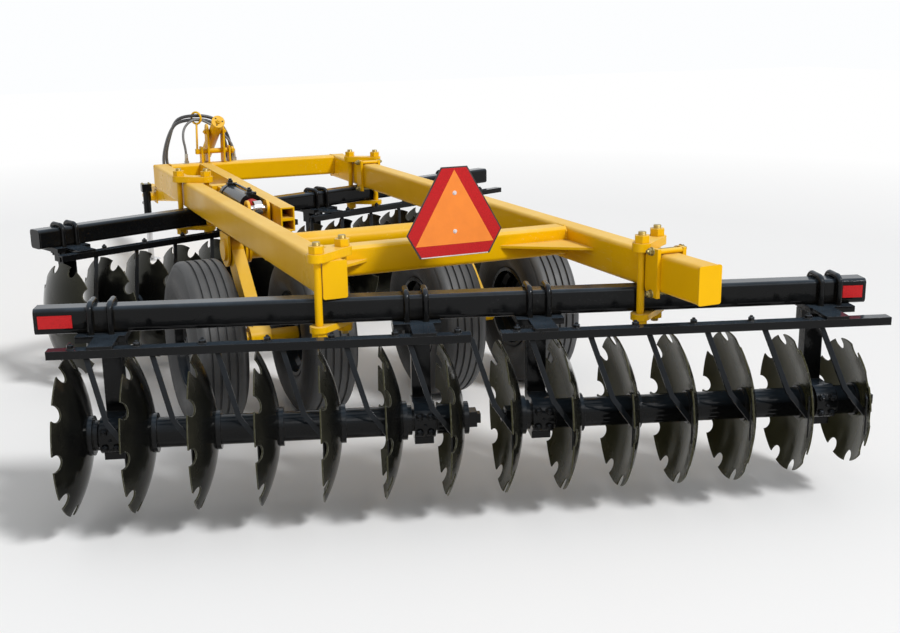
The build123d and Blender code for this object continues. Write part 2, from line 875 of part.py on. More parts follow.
def cylinder_mount():
    # Short tube between the left rail and the centre beam with two lugs and a pin
    anchor, _ = cylinder_points()
    left = -rail_offset + rail_width / 2
    rear = anchor.Y + eye_radius + 12
    front = rear + mount_tube
    outline = Polyline(
        (left, rear),
        (beam_centre(rear) - beam_width / 2, rear),
        (beam_centre(front) - beam_width / 2, front),
        (left, front),
        close=True,
    )
    tube = Pos(0, 0, anchor.Z - mount_tube / 2) * extrude(make_face(outline), mount_tube)
    half = eye_width / 2 + 1
    for side in (-1, 1):
        x = lever_x + side * (half + mount_lug / 2)
        lug = rod_x(eye_radius - 6, mount_lug, (x, anchor.Y, anchor.Z))
        lug += Pos(x, (anchor.Y + rear) / 2, anchor.Z) * Box(
            mount_lug, rear - anchor.Y, 2 * (eye_radius - 6)
        )
        tube += lug
    pin_length = 2 * (half + mount_lug) + 16
    tube += rod_x(pin_radius, pin_length, (lever_x, anchor.Y, anchor.Z))
    return [tube]


def lift_cylinder():
    # Barrel on the anchor pin and rod with its cross pin in the lever's slots
    anchor, eye = cylinder_points()
    place = between(tuple(anchor), tuple(eye))
    reach = (eye - anchor).length
    base = barrel_end_gap
    barrel = rod_x(barrel_radius, barrel_length, (base + barrel_length / 2, 0, 0))
    for x in (base + barrel_head / 2, base + barrel_length - barrel_head / 2):
        barrel += rod_x(barrel_head_radius, barrel_head, (x, 0, 0))
    bore_depth = barrel_length - barrel_head
    bore_x = base + barrel_head + bore_depth / 2
    barrel -= rod_x(rod_radius + pin_play, bore_depth, (bore_x, 0, 0))
    barrel += Pos(base / 2, 0, 0) * Box(base, eye_width, 1.6 * eye_radius)
    ring = Rot(90, 0, 0) * Cylinder(eye_radius, eye_width)
    barrel += ring
    barrel -= Rot(90, 0, 0) * Cylinder(pin_radius + pin_play, 4 * eye_width)
    inner = base + barrel_head + 20
    rod = rod_x(rod_radius, reach - inner, ((reach + inner) / 2, 0, 0))
    rod += Pos(reach, 0, 0) * Rot(90, 0, 0) * Cylinder(eye_radius, eye_width)
    cross = lever_gap + 2 * lever_plate + 8
    rod += Pos(reach, 0, 0) * Rot(90, 0, 0) * Cylinder(pin_radius, cross)
    stops = []
    ring = rod_x(stop_radius, stop_length, (0, 0, 0)) - rod_x(rod_radius, 2 * stop_length, (0, 0, 0))
    for index in (0, 1):
        x = base + barrel_length + 2 * stop_gap + stop_length / 2 + index * (stop_length + stop_gap)
        stops.append(place * Pos(x, 0, 0) * ring)
    return {
        "lift_cylinder_barrel": [place * barrel],
        "lift_cylinder_rod": [place * rod],
        "stroke_stops": stops,
    }


def tongue_axis():
    heel = Vector(tongue_x, tongue_pin_y, tongue_pin_z)
    tip = Vector(tongue_x, tongue_front_y, tongue_front_z)
    return heel, tip


def screw_foot():
    slope = radians(screw_slope)
    y = screw_top[0] + screw_length * cos(slope)
    z = screw_top[1] - screw_length * sin(slope)
    return Vector(tongue_x, y, z)


def tongue():
    # Square tube drawbar with the two lugs that hold the levelling screw's foot
    heel, tip = tongue_axis()
    place = between(tuple(heel), tuple(tip))
    length = (tip - heel).length
    tube = Pos((length - tongue_heel) / 2, 0, 0) * square_tube(
        length + tongue_heel, tongue_size, tongue_size, tube_wall
    )
    tube -= Rot(90, 0, 0) * Cylinder(tongue_pin_radius + pin_play, 2 * tongue_size)
    tube = place * tube
    foot = screw_foot()
    slope = (tip.Z - heel.Z) / (tip.Y - heel.Y)
    deck = heel.Z + (foot.Y - heel.Y) * slope + tongue_size / 2
    height = foot.Z - deck + 8
    for side in (-1, 1):
        x = tongue_x + side * (lug_half_gap + lug_plate / 2)
        lug = rod_x(lug_radius, lug_plate, (x, foot.Y, foot.Z))
        lug += Pos(x, foot.Y, foot.Z - height / 2) * Box(lug_plate, 2 * lug_radius, height)
        lug -= rod_x(screw_pin_radius + pin_play, 4 * lug_plate, (x, foot.Y, foot.Z))
        tube += lug
    return [tube]


def tongue_bracket():
    # Plates on the front cross tube with the tongue's hinge pin
    heel, _ = tongue_axis()
    shape = None
    level = rail_top - cross_height / 2
    for side in (-1, 1):
        x = tongue_x + side * (tongue_size / 2 + 1 + bracket_plate / 2)
        outline = Polyline(
            (rail_front, level + cross_height / 2 - 12),
            (rail_front + bracket_reach, tongue_pin_z + 44),
            (rail_front + bracket_reach, tongue_pin_z - 48),
            (rail_front, tongue_pin_z - 48),
            close=True,
        )
        upright = Plane(origin=(x, 0, 0), x_dir=(0, 1, 0), z_dir=(1, 0, 0))
        plate = upright.location * extrude(make_face(outline), bracket_plate / 2, both=True)
        shape = plate if shape is None else shape + plate
    pin = tongue_size + 2 * bracket_plate + 40
    shape += rod_x(tongue_pin_radius, pin, (tongue_x, heel.Y, heel.Z))
    return [shape]


def hitch_clevis():
    # Jaw on the tongue's front end for a tractor drawbar, bored for an upright pin
    _, tip = tongue_axis()
    heel, _ = tongue_axis()
    level = tip.Z
    rear = tip.Y
    jaw = Pos(tongue_x, rear + 10, level) * Box(tongue_size - 20, 20, 2 * hitch_plate + hitch_jaw)
    for side in (-1, 1):
        z = level + side * (hitch_jaw + hitch_plate) / 2
        flat = Pos(tongue_x, rear + hitch_length / 2, z) * Box(hitch_width, hitch_length, hitch_plate)
        nose = Pos(tongue_x, rear + hitch_length, z) * Cylinder(hitch_width / 2, hitch_plate)
        jaw += flat + nose
    jaw -= Pos(tongue_x, rear + hitch_length, level) * Cylinder(hitch_bore / 2, 4 * hitch_jaw)
    slope = degrees(atan2(tip.Z - heel.Z, tip.Y - heel.Y))
    place = between(tuple(heel), tuple(tip))
    trim = place * Pos((tip - heel).length - 500, 0, 0) * Box(1000, 2 * tongue_size, 2 * tongue_size)
    print("tongue slope", round(slope, 3))
    return [jaw.cut(trim)]


def mast():
    # Two tall plates for the levelling screw, an ear outside each, and a cross pin through them all
    top = mast_top_z - mast_top_radius
    middle = (mast_rear_y + rail_front) / 2
    foot = mast_screw_point()
    shape = rod_x(mast_pin_radius, mast_pin_length, (tongue_x, middle, mast_pin_z))
    for side in (-1, 1):
        x = tongue_x + side * (mast_half_gap + mast_plate / 2)
        upright = Plane(origin=(x, 0, 0), x_dir=(0, 1, 0), z_dir=(1, 0, 0))
        outline = Polyline(
            (mast_rear_y, rail_top),
            (rail_front, rail_top),
            (foot[0] + mast_top_radius, top),
            (foot[0] - mast_top_radius, top),
            close=True,
        )
        head = Pos(foot[0], top) * Circle(mast_top_radius)
        plate = extrude(make_face(outline) + head, mast_plate / 2, both=True)
        plate -= Pos(foot[0], foot[1], 0) * Cylinder(trunnion_radius + pin_play, 4 * mast_plate)
        shape += upright.location * plate
        ear_x = tongue_x + side * (mast_pin_length / 2 - mast_plate - 4)
        ear_z = mast_pin_z + mast_ear / 2
        ear = Pos(ear_x, middle, (rail_top + ear_z) / 2) * Box(mast_plate, mast_ear, ear_z - rail_top)
        shape += ear
    return [shape]


def mast_screw_point():
    # Where the levelling screw's trunnions sit in the mast plates
    slope = radians(screw_slope)
    y = (mast_rear_y + rail_front) / 2 - 20
    along = (y - screw_top[0]) / cos(slope)
    return (y, screw_top[1] - along * sin(slope))


def levelling_screw():
    # Capped tube on trunnions, with the screw running down to the tongue's lugs
    foot = screw_foot()
    start = (tongue_x, screw_top[0], screw_top[1])
    place = between(start, tuple(foot))
    tube = rod_x(screw_tube_radius, screw_tube_length, (screw_tube_length / 2, 0, 0))
    tube += rod_x(screw_tube_radius + 5, screw_cap, (screw_cap / 2, 0, 0))
    tube += rod_x(screw_rod_radius, screw_length, (screw_length / 2, 0, 0))
    across = Pos(screw_length, 0, 0) * Rot(90, 0, 0)
    tube += across * Cylinder(screw_eye_radius, 2 * lug_half_gap - 2)
    tube += across * Cylinder(screw_pin_radius, 2 * lug_half_gap + 2 * lug_plate + 16)
    point = mast_screw_point()
    along = hypot(point[0] - screw_top[0], point[1] - screw_top[1])
    tube += Pos(along, 0, 0) * Rot(90, 0, 0) * Cylinder(
        trunnion_radius, 2 * (mast_half_gap + mast_plate) + 10
    )
    return [place * tube]


def hose_holder():
    # Boss on the mast pin's left end, a rod from it and the ring at its top that gathers the hoses
    half = holder_rod_radius + holder_boss_wall
    x = tongue_x - mast_pin_length / 2 - half
    base = Vector(x, (mast_rear_y + rail_front) / 2, mast_pin_z)
    ring_centre = base + Vector(*holder_ring_offset)
    along = ring_centre - Vector(0, 0, holder_ring_radius) - base
    rod = between(tuple(base), tuple(base + along)) * rod_x(
        holder_rod_radius, along.length, (along.length / 2, 0, 0)
    )
    boss = Pos(*base) * Box(2 * half, 2 * mast_pin_radius, 2 * mast_pin_radius)
    ring = Torus(holder_ring_radius, holder_rod_radius)
    facing = Plane(origin=ring_centre, z_dir=(-1, 0.2, 0))
    return [boss + rod + facing.location * ring]


def jack_pivot():
    return Vector(tongue_x - tongue_size / 2 - jack_side, jack_y, jack_pivot_z)


def jack_mount():
    # Plate and stub on the tongue's left side that the jack swivels on
    pivot = jack_pivot()
    side = tongue_x - tongue_size / 2
    reach = side - (pivot.X + jack_radius + jack_gap)
    stub = rod_x(jack_pivot_radius, reach, (side - reach / 2, pivot.Y, pivot.Z))
    plate = Pos(side - jack_plate / 2, pivot.Y, pivot.Z) * Box(jack_plate, 110, 104)
    return [stub + plate]


def jack():
    # Outer tube with a gear head and its crank on the front, inner leg and foot
    pivot = jack_pivot()
    outer_bottom = jack_pivot_z - jack_tube_drop
    tube = Pos(pivot.X, pivot.Y, (jack_top_z + outer_bottom) / 2) * Cylinder(
        jack_radius, jack_top_z - outer_bottom
    )
    tube += Pos(pivot.X, pivot.Y, jack_top_z - jack_head[2] / 2) * Box(*jack_head)
    leg = Pos(pivot.X, pivot.Y, (outer_bottom + jack_foot) / 2) * Cylinder(
        jack_inner_radius, outer_bottom - jack_foot
    )
    leg += Pos(pivot.X, pivot.Y, jack_foot / 2) * Cylinder(jack_foot_radius, jack_foot)
    face = pivot.Y + jack_head[1] / 2
    axle_z = jack_top_z - jack_head[2] / 2
    arm_y = face + jack_crank_stem
    half = jack_crank_radius
    tube += Pos(pivot.X, face + jack_crank_stem / 2, axle_z) * Box(2 * half, jack_crank_stem + 2 * half, 2 * half)
    tube += Pos(pivot.X, arm_y, axle_z - jack_crank_reach / 2) * Box(
        2 * half, 2 * half, jack_crank_reach + 2 * half
    )
    grip = Pos(pivot.X, arm_y + jack_grip / 2, axle_z - jack_crank_reach) * Rot(90, 0, 0) * Cylinder(
        half + 5, jack_grip
    )
    return {"jack_tube": [tube + grip], "jack_leg": [leg]}


def hose_route(points, radius, label):
    # Straight runs joined by arcs as large as the shorter run beside each point allows
    radii = []
    for before, point, after in zip(points, points[1:], points[2:]):
        into = Vector(*point) - Vector(*before)
        out = Vector(*after) - Vector(*point)
        half_turn = radians(into.get_angle(out)) / 2
        radii.append(0.45 * min(into.length, out.length) / tan(half_turn))
    path = FilletPolyline(*points, radius=radii)
    start = Vector(*points[0])
    section = Plane(origin=points[0], z_dir=Vector(*points[1]) - start) * Circle(radius)
    hose = sweep(section, path)
    straight = 3.14159265 * radius**2 * path.length
    print(label, "radii", [round(radius) for radius in radii], "length", round(path.length))
    print(label, "volume share", round(hose.volume / straight, 4))
    return [hose]


hose_routes = {
    "hose_left": [
        (-156, 3622, 1000), (-156, 3622, 1088), (-172, 3634, 1174), (-214, 3640, 1250),
        (-274, 3640, 1288), (-376, 3640, 1297), (-460, 3716, 1278), (-476, 3856, 1222),
        (-478, 4050, 1126), (-466, 4290, 992), (-420, 4540, 868), (-352, 4740, 776),
        (-302, 4900, 720.2), (-296, 5020, 704.6),
    ],
    "hose_right": [
        (-126, 3622, 1000), (-126, 3622, 1092), (-144, 3630, 1186), (-188, 3632, 1266),
        (-258, 3630, 1312), (-364, 3628, 1324), (-446, 3704, 1308), (-462, 3846, 1252),
        (-458, 4046, 1150), (-446, 4290, 1012), (-392, 4550, 882), (-312, 4750, 790),
        (-254, 4905, 719.6), (-250, 5030, 703.3),
    ],
    "hose_short": [
        (-450, 3541, 1047), (-450, 3541, 1110), (-462, 3556, 1178), (-448, 3582, 1244),
        (-400, 3602, 1290), (-334, 3617, 1300), (-272, 3622, 1270), (-216, 3606, 1232),
        (-166, 3594, 1178), (-122, 3576, 1116), (-122, 3576, 1052),
    ],
}
hose_sizes = {"hose_left": hose_radius, "hose_right": hose_radius, "hose_short": thin_hose_radius}


def hoses():
    built = {}
    for name, points in hose_routes.items():
        built[name] = hose_route(points, hose_sizes[name], name)
    return built


def hose_fittings():
    # Stubs the hoses start from: three on the front cross tube's front face and one on its top
    stubs = []
    ends = [points[0] for points in hose_routes.values()]
    ends.append(hose_routes["hose_short"][-1])
    for x, y, z in ends:
        stub = Pos(x, y, z - fitting_length / 2) * Cylinder(fitting_radius - 3, fitting_length)
        if y > rail_front:
            depth = y - rail_front + fitting_radius - 2
            block = Pos(x, rail_front + depth / 2, z - fitting_length - 8) * Box(
                2 * fitting_radius - 4, depth, 24
            )
        else:
            height = z - fitting_length - rail_top + 4
            block = Pos(x, y, rail_top + height / 2) * Box(2 * fitting_radius - 4, 2 * fitting_radius, height)
        stubs.append(stub + block)
    return stubs


def couplers():
    # Quick couplers on the hoses' front ends
    ends = []
    for name in ("hose_left", "hose_right"):
        points = hose_routes[name]
        tip = Vector(*points[-1])
        aim = tip - Vector(*points[-2])
        body = Plane(origin=tip, z_dir=aim).location * Pos(0, 0, coupler_length / 2) * Cylinder(
            coupler_radius, coupler_length
        )
        ends.append(body)
    return ends


def emblem():
    # Truncated triangle plate that faces rearward
    half = emblem_width / 2
    inset, rise = emblem_corner
    outline = Polyline(
        (-half + inset, 0),
        (half - inset, 0),
        (half, rise),
        (emblem_tip / 2, emblem_height),
        (-emblem_tip / 2, emblem_height),
        (-half, rise),
        close=True,
    )
    plate = extrude(make_face(outline), emblem_thickness / 2, both=True)
    upright = Plane(origin=(emblem_x, emblem_y, emblem_base_z), x_dir=(1, 0, 0), z_dir=(0, -1, 0))
    return [upright.location * plate]


def emblem_bracket():
    # Flat bar from the rear cross tube's top, bent up behind the emblem
    width, thickness = emblem_post
    face = emblem_y + emblem_thickness / 2
    deck = rear_cross_face + cross_depth - 20
    arm = Pos(emblem_x, (face + deck) / 2, rail_top + thickness / 2) * Box(width, deck - face, thickness)
    height = emblem_height * 0.8
    post = Pos(emblem_x, face + thickness / 2, rail_top + height / 2) * Box(width, thickness, height)
    return [arm + post]


def reflectors():
    # One near each end of the rear bar, on its rear face
    depth, height = reflector_size
    plates = []
    for side, length in zip((-1, 1), reflector_lengths):
        x = side * (rear_bar_length / 2 - reflector_inset - length / 2)
        plate = Pos(x, -bar_size / 2 - depth / 2, -bar_size / 2) * Box(length, depth, height)
        plates.append(rear_place * plate)
    return plates


def build_all():
    nodes = {}
    nodes.update(rails())
    nodes.update(cross_tubes())
    nodes.update(gang_bars())
    nodes.update(tube_caps())
    nodes.update(clamps())
    nodes["stop_collars"] = stop_collars()
    full = [disc_diameter] * (2 * gang_discs)
    tapered = full[: -len(end_disc_diameters)] + list(end_disc_diameters)
    nodes.update(gang_assembly(
        "rear", rear_place, rear_first_hubs, rear_pitches, tapered, rear_plate_shifts, rear_angle_overhangs, False
    ))
    nodes.update(gang_assembly(
        "front", front_place, front_first_hubs, front_pitches, full, front_plate_shifts, front_angle_overhangs, True
    ))
    nodes.update(wheels())
    nodes["rockshaft"] = rockshaft()
    nodes["wheel_legs"] = wheel_legs()
    nodes["rockshaft_bearings"] = rockshaft_bearings()
    nodes["centre_beam"] = centre_beam()
    nodes["cylinder_mount"] = cylinder_mount()
    nodes.update(lift_cylinder())
    nodes["tongue"] = tongue()
    nodes["tongue_bracket"] = tongue_bracket()
    nodes["hitch_clevis"] = hitch_clevis()
    nodes["mast"] = mast()
    nodes["levelling_screw"] = levelling_screw()
    nodes["hose_holder"] = hose_holder()
    nodes["jack_mount"] = jack_mount()
    nodes.update(jack())
    nodes.update(hoses())
    nodes["hose_fittings"] = hose_fittings()
    nodes["hose_couplers"] = couplers()
    nodes["emblem"] = emblem()
    nodes["emblem_bracket"] = emblem_bracket()
    nodes["reflectors"] = reflectors()
    return nodes


cord_nodes = ("hose_left", "hose_right", "hose_short", "hose_couplers")


def settled(nodes):
    # Origin on the ground under the middle of the object's box, cords left aside
    rigid = [shape for name, shapes in nodes.items() if name not in cord_nodes for shape in shapes]
    box = Compound(children=[copy_of(shape) for shape in rigid]).bounding_box()
    shift = Vector(-(box.min.X + box.max.X) / 2, -(box.min.Y + box.max.Y) / 2, -box.min.Z)
    print("shift", shift.X, shift.Y, shift.Z)
    return shift


def copy_of(shape):
    return Pos(0, 0, 0) * shape


def main():
    os.makedirs("parts", exist_ok=True)
    nodes = build_all()
    shift = settled(nodes)
    move = Pos(shift.X, shift.Y, shift.Z)
    for name, shapes in nodes.items():
        solids = [solid for shape in shapes for solid in (move * shape).solids()]
        piece = solids[0] if len(solids) == 1 else Compound(children=solids)
        piece.label = name
        export_step(piece, "parts/" + name + ".step")
    print(len(nodes), "nodes")


main()
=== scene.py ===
import json
from math import cos, pi, radians, sin, sqrt, tan

import bmesh
import bpy
from mathutils import Matrix, Vector


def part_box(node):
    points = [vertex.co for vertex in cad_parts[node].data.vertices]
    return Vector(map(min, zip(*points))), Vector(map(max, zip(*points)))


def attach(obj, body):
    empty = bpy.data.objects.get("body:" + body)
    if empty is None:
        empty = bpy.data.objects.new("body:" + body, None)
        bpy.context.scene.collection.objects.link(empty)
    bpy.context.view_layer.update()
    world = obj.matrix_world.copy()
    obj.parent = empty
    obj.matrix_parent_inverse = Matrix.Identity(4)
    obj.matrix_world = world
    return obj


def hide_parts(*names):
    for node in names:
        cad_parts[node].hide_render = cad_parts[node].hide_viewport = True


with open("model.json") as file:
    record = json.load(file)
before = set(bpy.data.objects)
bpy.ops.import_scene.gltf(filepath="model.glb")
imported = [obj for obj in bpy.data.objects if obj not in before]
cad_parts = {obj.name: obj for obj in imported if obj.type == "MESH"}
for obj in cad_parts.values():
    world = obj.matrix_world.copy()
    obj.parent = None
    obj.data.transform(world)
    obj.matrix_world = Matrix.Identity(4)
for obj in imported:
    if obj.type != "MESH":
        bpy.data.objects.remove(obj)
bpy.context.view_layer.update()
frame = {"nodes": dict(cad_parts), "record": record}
nodes = frame["nodes"]
scene = bpy.context.scene
print("frame loaded:", len(nodes), "nodes")

# The drawing's own origin: midway between the rails, at the left rail's rear end, on the ground
railCorner = Vector((-0.661, 0.008, 0.865))  # left rail's low corner in the drawing
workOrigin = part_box("left_rail")[0] - railCorner


def spot(x, y, z):
    return Vector((x, y, z)) + workOrigin


def addObject(name, data):
    made = bpy.data.objects.new(name, data)
    scene.collection.objects.link(made)
    return made


# Camera, solved from the photograph's straight tubes

cameraSet = {
    "place": (-1.985, -4.1996, 1.9086), "yaw": 23.9, "pitch": 14.3, "roll": 0.77,
    "lens": 46.3, "sensor": 36, "farClip": 200,
}


def makeCamera():
    yaw, pitch, roll = (radians(cameraSet[key]) for key in ("yaw", "pitch", "roll"))
    ahead = Vector((sin(yaw) * cos(pitch), cos(yaw) * cos(pitch), -sin(pitch)))
    level = Vector((cos(yaw), -sin(yaw), 0))
    down = ahead.cross(level)
    right = level * cos(roll) + down * sin(roll)
    under = down * cos(roll) - level * sin(roll)
    turn = Matrix((right, -under, -ahead)).transposed()
    data = bpy.data.cameras.new("photoCamera")
    data.lens = cameraSet["lens"]
    data.sensor_width = cameraSet["sensor"]
    data.clip_end = cameraSet["farClip"]
    camera = addObject("photoCamera", data)
    camera.matrix_world = Matrix.Translation(spot(*cameraSet["place"])) @ turn.to_4x4()
    scene.camera = camera


makeCamera()
scene.view_settings.view_transform = "Standard"
print("camera set")


# Gang bars in the drawing: middle of the bar's top, angle in plan, each gang's first blade and pitch.
# Flip is 1 where the blades are counted, and domed, along the bar's angle, and -1 where against it

gangSet = {
    "rear": {
        "centre": (-0.1106, -0.1033), "angle": -17.84, "flip": 1,
        "firsts": (-1.469, 0.207), "pitches": (0.241, 0.233),
    },
    "front": {
        "centre": (0.0686, 2.8513), "angle": 20.53, "flip": -1,
        "firsts": (-1.445, 0.249), "pitches": (0.242, 0.242),
    },
}
gangSizes = {"barTop": 0.865, "discs": 7, "setback": 0.134, "axleDrop": 0.486}
axleLevel = gangSizes["barTop"] - gangSizes["axleDrop"]


def barAxis(side):
    turn = radians(gangSet[side]["angle"])
    return Vector((cos(turn), sin(turn), 0))


def barPoint(side, along, across, level):
    values = gangSet[side]
    turn = radians(values["angle"])
    x, y = values["centre"]
    along *= values["flip"]
    x += along * cos(turn) - across * sin(turn)
    y += along * sin(turn) + across * cos(turn)
    return spot(x, y, level)


def barHubs(side):
    values = gangSet[side]
    hubs = []
    for first, pitch in zip(values["firsts"], values["pitches"]):
        hubs += [first + pitch * index for index in range(gangSizes["discs"])]
    return hubs


# Shader helpers

def addNode(tree, kind, **values):
    node = tree.nodes.new(kind)
    for key, value in values.items():
        setattr(node, key, value)
    return node


def feed(tree, source, target):
    if hasattr(source, "is_output"):
        tree.links.new(source, target)
    else:
        target.default_value = source


def coords(tree, kind="Object"):
    return addNode(tree, "ShaderNodeTexCoord").outputs[kind]


def maths(tree, operation, first, second=0.0, clamp=False):
    node = addNode(tree, "ShaderNodeMath", operation=operation, use_clamp=clamp)
    feed(tree, first, node.inputs[0])
    feed(tree, second, node.inputs[1])
    return node.outputs[0]


def product(tree, first, *others):
    for other in others:
        first = maths(tree, "MULTIPLY", first, other)
    return first


def vectorMaths(tree, operation, first, second=None):
    node = addNode(tree, "ShaderNodeVectorMath", operation=operation)
    feed(tree, first, node.inputs[0])
    if second is not None:
        feed(tree, second, node.inputs[1])
    return node.outputs["Value" if operation in ("DOT_PRODUCT", "LENGTH") else "Vector"]


def ramp(tree, value, low, high, start=0.0, end=1.0):
    node = addNode(tree, "ShaderNodeMapRange")
    feed(tree, value, node.inputs["Value"])
    for key, number in (("From Min", low), ("From Max", high), ("To Min", start), ("To Max", end)):
        node.inputs[key].default_value = number
    return node.outputs[0]


def blendColour(tree, share, first, second):
    node = addNode(tree, "ShaderNodeMix", data_type="RGBA")
    feed(tree, share, node.inputs[0])
    feed(tree, first, node.inputs[6])
    feed(tree, second, node.inputs[7])
    return node.outputs[2]


def noise(tree, vector, scale, detail=4.0, rough=0.55):
    node = addNode(tree, "ShaderNodeTexNoise")
    feed(tree, vector, node.inputs["Vector"])
    feed(tree, scale, node.inputs["Scale"])
    node.inputs["Detail"].default_value = detail
    node.inputs["Roughness"].default_value = rough
    return node.outputs["Fac"]


def makeGroup(name, inputs, outputs):
    tree = bpy.data.node_groups.new(name, "ShaderNodeTree")
    for label, number in inputs.items():
        socket = tree.interface.new_socket(name=label, in_out="INPUT", socket_type="NodeSocketFloat")
        socket.default_value = number
    for label, kind in outputs.items():
        tree.interface.new_socket(name=label, in_out="OUTPUT", socket_type=kind)
    return tree, addNode(tree, "NodeGroupInput"), addNode(tree, "NodeGroupOutput")


def placeGroup(tree, group, **values):
    node = addNode(tree, "ShaderNodeGroup", node_tree=group)
    for key, value in values.items():
        feed(tree, value, node.inputs[key])
    return node


def colour(red, green, blue):
    return (red, green, blue, 1.0)


# Shared effects. A band is the range that is stretched, and after it the range it is stretched to

grimeSet = {
    "broad": (6.0, 0.6), "broadBand": (0.35, 0.68),  # noise: detail and roughness
    "fineRatio": 22.0, "fineDetail": 3.0, "fineBand": (0.3, 0.75),
}


def makeGrimeGroup():
    tree, source, result = makeGroup(
        "surfaceGrime", {"Scale": 3.0}, {"Patches": "NodeSocketFloat", "Speckle": "NodeSocketFloat"}
    )
    scale = source.outputs["Scale"]
    broad = noise(tree, coords(tree), scale, *grimeSet["broad"])
    fine = noise(tree, coords(tree), product(tree, scale, grimeSet["fineRatio"]), grimeSet["fineDetail"])
    tree.links.new(ramp(tree, broad, *grimeSet["broadBand"]), result.inputs["Patches"])
    tree.links.new(ramp(tree, fine, *grimeSet["fineBand"]), result.inputs["Speckle"])
    return tree


# Patchy layer on upward faces. On the red paint and the blades it is dust. On the yellow paint it is mostly
# painted sheen on the tops, with some dust. On the black paint it is a blue-grey painted reflection of sky
# on the tops.
dustAndPaintedSheenSet = {"upBand": (0.25, 0.95), "drift": (8.0, 0.65), "driftBand": (0.3, 0.7, 0.35, 1.0)}


def makeDustAndPaintedSheenGroup():
    tree, source, result = makeGroup(
        "settledDust", {"Amount": 0.3, "Scale": 5.0}, {"Mask": "NodeSocketFloat"}
    )
    split = addNode(tree, "ShaderNodeSeparateXYZ")
    tree.links.new(coords(tree, "Normal"), split.inputs[0])
    upward = ramp(tree, split.outputs["Z"], *dustAndPaintedSheenSet["upBand"])
    drift = noise(tree, coords(tree), source.outputs["Scale"], *dustAndPaintedSheenSet["drift"])
    drift = ramp(tree, drift, *dustAndPaintedSheenSet["driftBand"])
    tree.links.new(product(tree, upward, drift, source.outputs["Amount"]), result.inputs["Mask"])
    return tree


edgeSet = {"samples": 4, "band": (0.995, 0.9)}


def makeEdgeGroup():
    tree, source, result = makeGroup(
        "rubbedEdge", {"Radius": 0.003}, {"Edge": "NodeSocketFloat", "Normal": "NodeSocketVector"}
    )
    bevel = addNode(tree, "ShaderNodeBevel", samples=edgeSet["samples"])
    tree.links.new(source.outputs["Radius"], bevel.inputs["Radius"])
    normal = addNode(tree, "ShaderNodeNewGeometry").outputs["Normal"]
    match = vectorMaths(tree, "DOT_PRODUCT", bevel.outputs[0], normal)
    tree.links.new(ramp(tree, match, *edgeSet["band"]), result.inputs["Edge"])
    tree.links.new(bevel.outputs[0], result.inputs["Normal"])
    return tree


# Darker colour in corners and recesses, found by ambient occlusion: grime together with painted shade where
# little light reaches
creviceDirtAndPaintedShadeSet = {
    "samples": 4, "cornerBand": (0.75, 0.2), "grain": (28.0, 5.0), "grainBand": (0.25, 0.7, 0.4, 1.0),
}


def makeCreviceDirtAndPaintedShadeGroup():
    tree, source, result = makeGroup(
        "creviceDirt", {"Reach": 0.05, "Amount": 0.5}, {"Mask": "NodeSocketFloat"}
    )
    shade = addNode(tree, "ShaderNodeAmbientOcclusion", samples=creviceDirtAndPaintedShadeSet["samples"])
    tree.links.new(source.outputs["Reach"], shade.inputs["Distance"])
    corner = ramp(tree, shade.outputs["AO"], *creviceDirtAndPaintedShadeSet["cornerBand"])
    broken = ramp(tree, noise(tree, coords(tree), *creviceDirtAndPaintedShadeSet["grain"]), *creviceDirtAndPaintedShadeSet["grainBand"])
    tree.links.new(product(tree, corner, broken, source.outputs["Amount"]), result.inputs["Mask"])
    return tree


# Long lighter streaks: scuffs. On the yellow paint they also paint glare, a painted highlight.
scuffAndPaintedGlareSet = {
    "stretch": (30, 3.5, 30), "streaks": (2.2, 6.0, 0.7), "streakBand": (0.58, 0.7),
    "patches": (1.3, 3.0), "patchBand": (0.5, 0.62),
}


def makeScuffAndPaintedGlareGroup():
    tree, source, result = makeGroup("dragScuffs", {"Amount": 0.5}, {"Mask": "NodeSocketFloat"})
    stretched = vectorMaths(tree, "MULTIPLY", coords(tree), scuffAndPaintedGlareSet["stretch"])
    streaks = ramp(tree, noise(tree, stretched, *scuffAndPaintedGlareSet["streaks"]), *scuffAndPaintedGlareSet["streakBand"])
    patches = ramp(tree, noise(tree, coords(tree), *scuffAndPaintedGlareSet["patches"]), *scuffAndPaintedGlareSet["patchBand"])
    tree.links.new(product(tree, streaks, patches, source.outputs["Amount"]), result.inputs["Mask"])
    return tree


grimeGroup = makeGrimeGroup()
dustAndPaintedSheenGroup = makeDustAndPaintedSheenGroup()
edgeGroup = makeEdgeGroup()
creviceDirtAndPaintedShadeGroup = makeCreviceDirtAndPaintedShadeGroup()
scuffAndPaintedGlareGroup = makeScuffAndPaintedGlareGroup()
print("shared effects made")


def startMaterial(name):
    material = bpy.data.materials.new(name)
    material.use_nodes = True
    tree = material.node_tree
    return material, tree, tree.nodes["Principled BSDF"]


def finishNormal(tree, shader, height, relief, normal=None):
    distance, strength = relief
    bump = addNode(tree, "ShaderNodeBump")
    bump.inputs["Strength"].default_value = strength
    bump.inputs["Distance"].default_value = distance
    tree.links.new(height, bump.inputs["Height"])
    if normal is not None:
        tree.links.new(normal, bump.inputs["Normal"])
    tree.links.new(bump.outputs[0], shader.inputs["Normal"])


# Sprayed paints: yellow frame, black gangs and wheels, red stroke stops

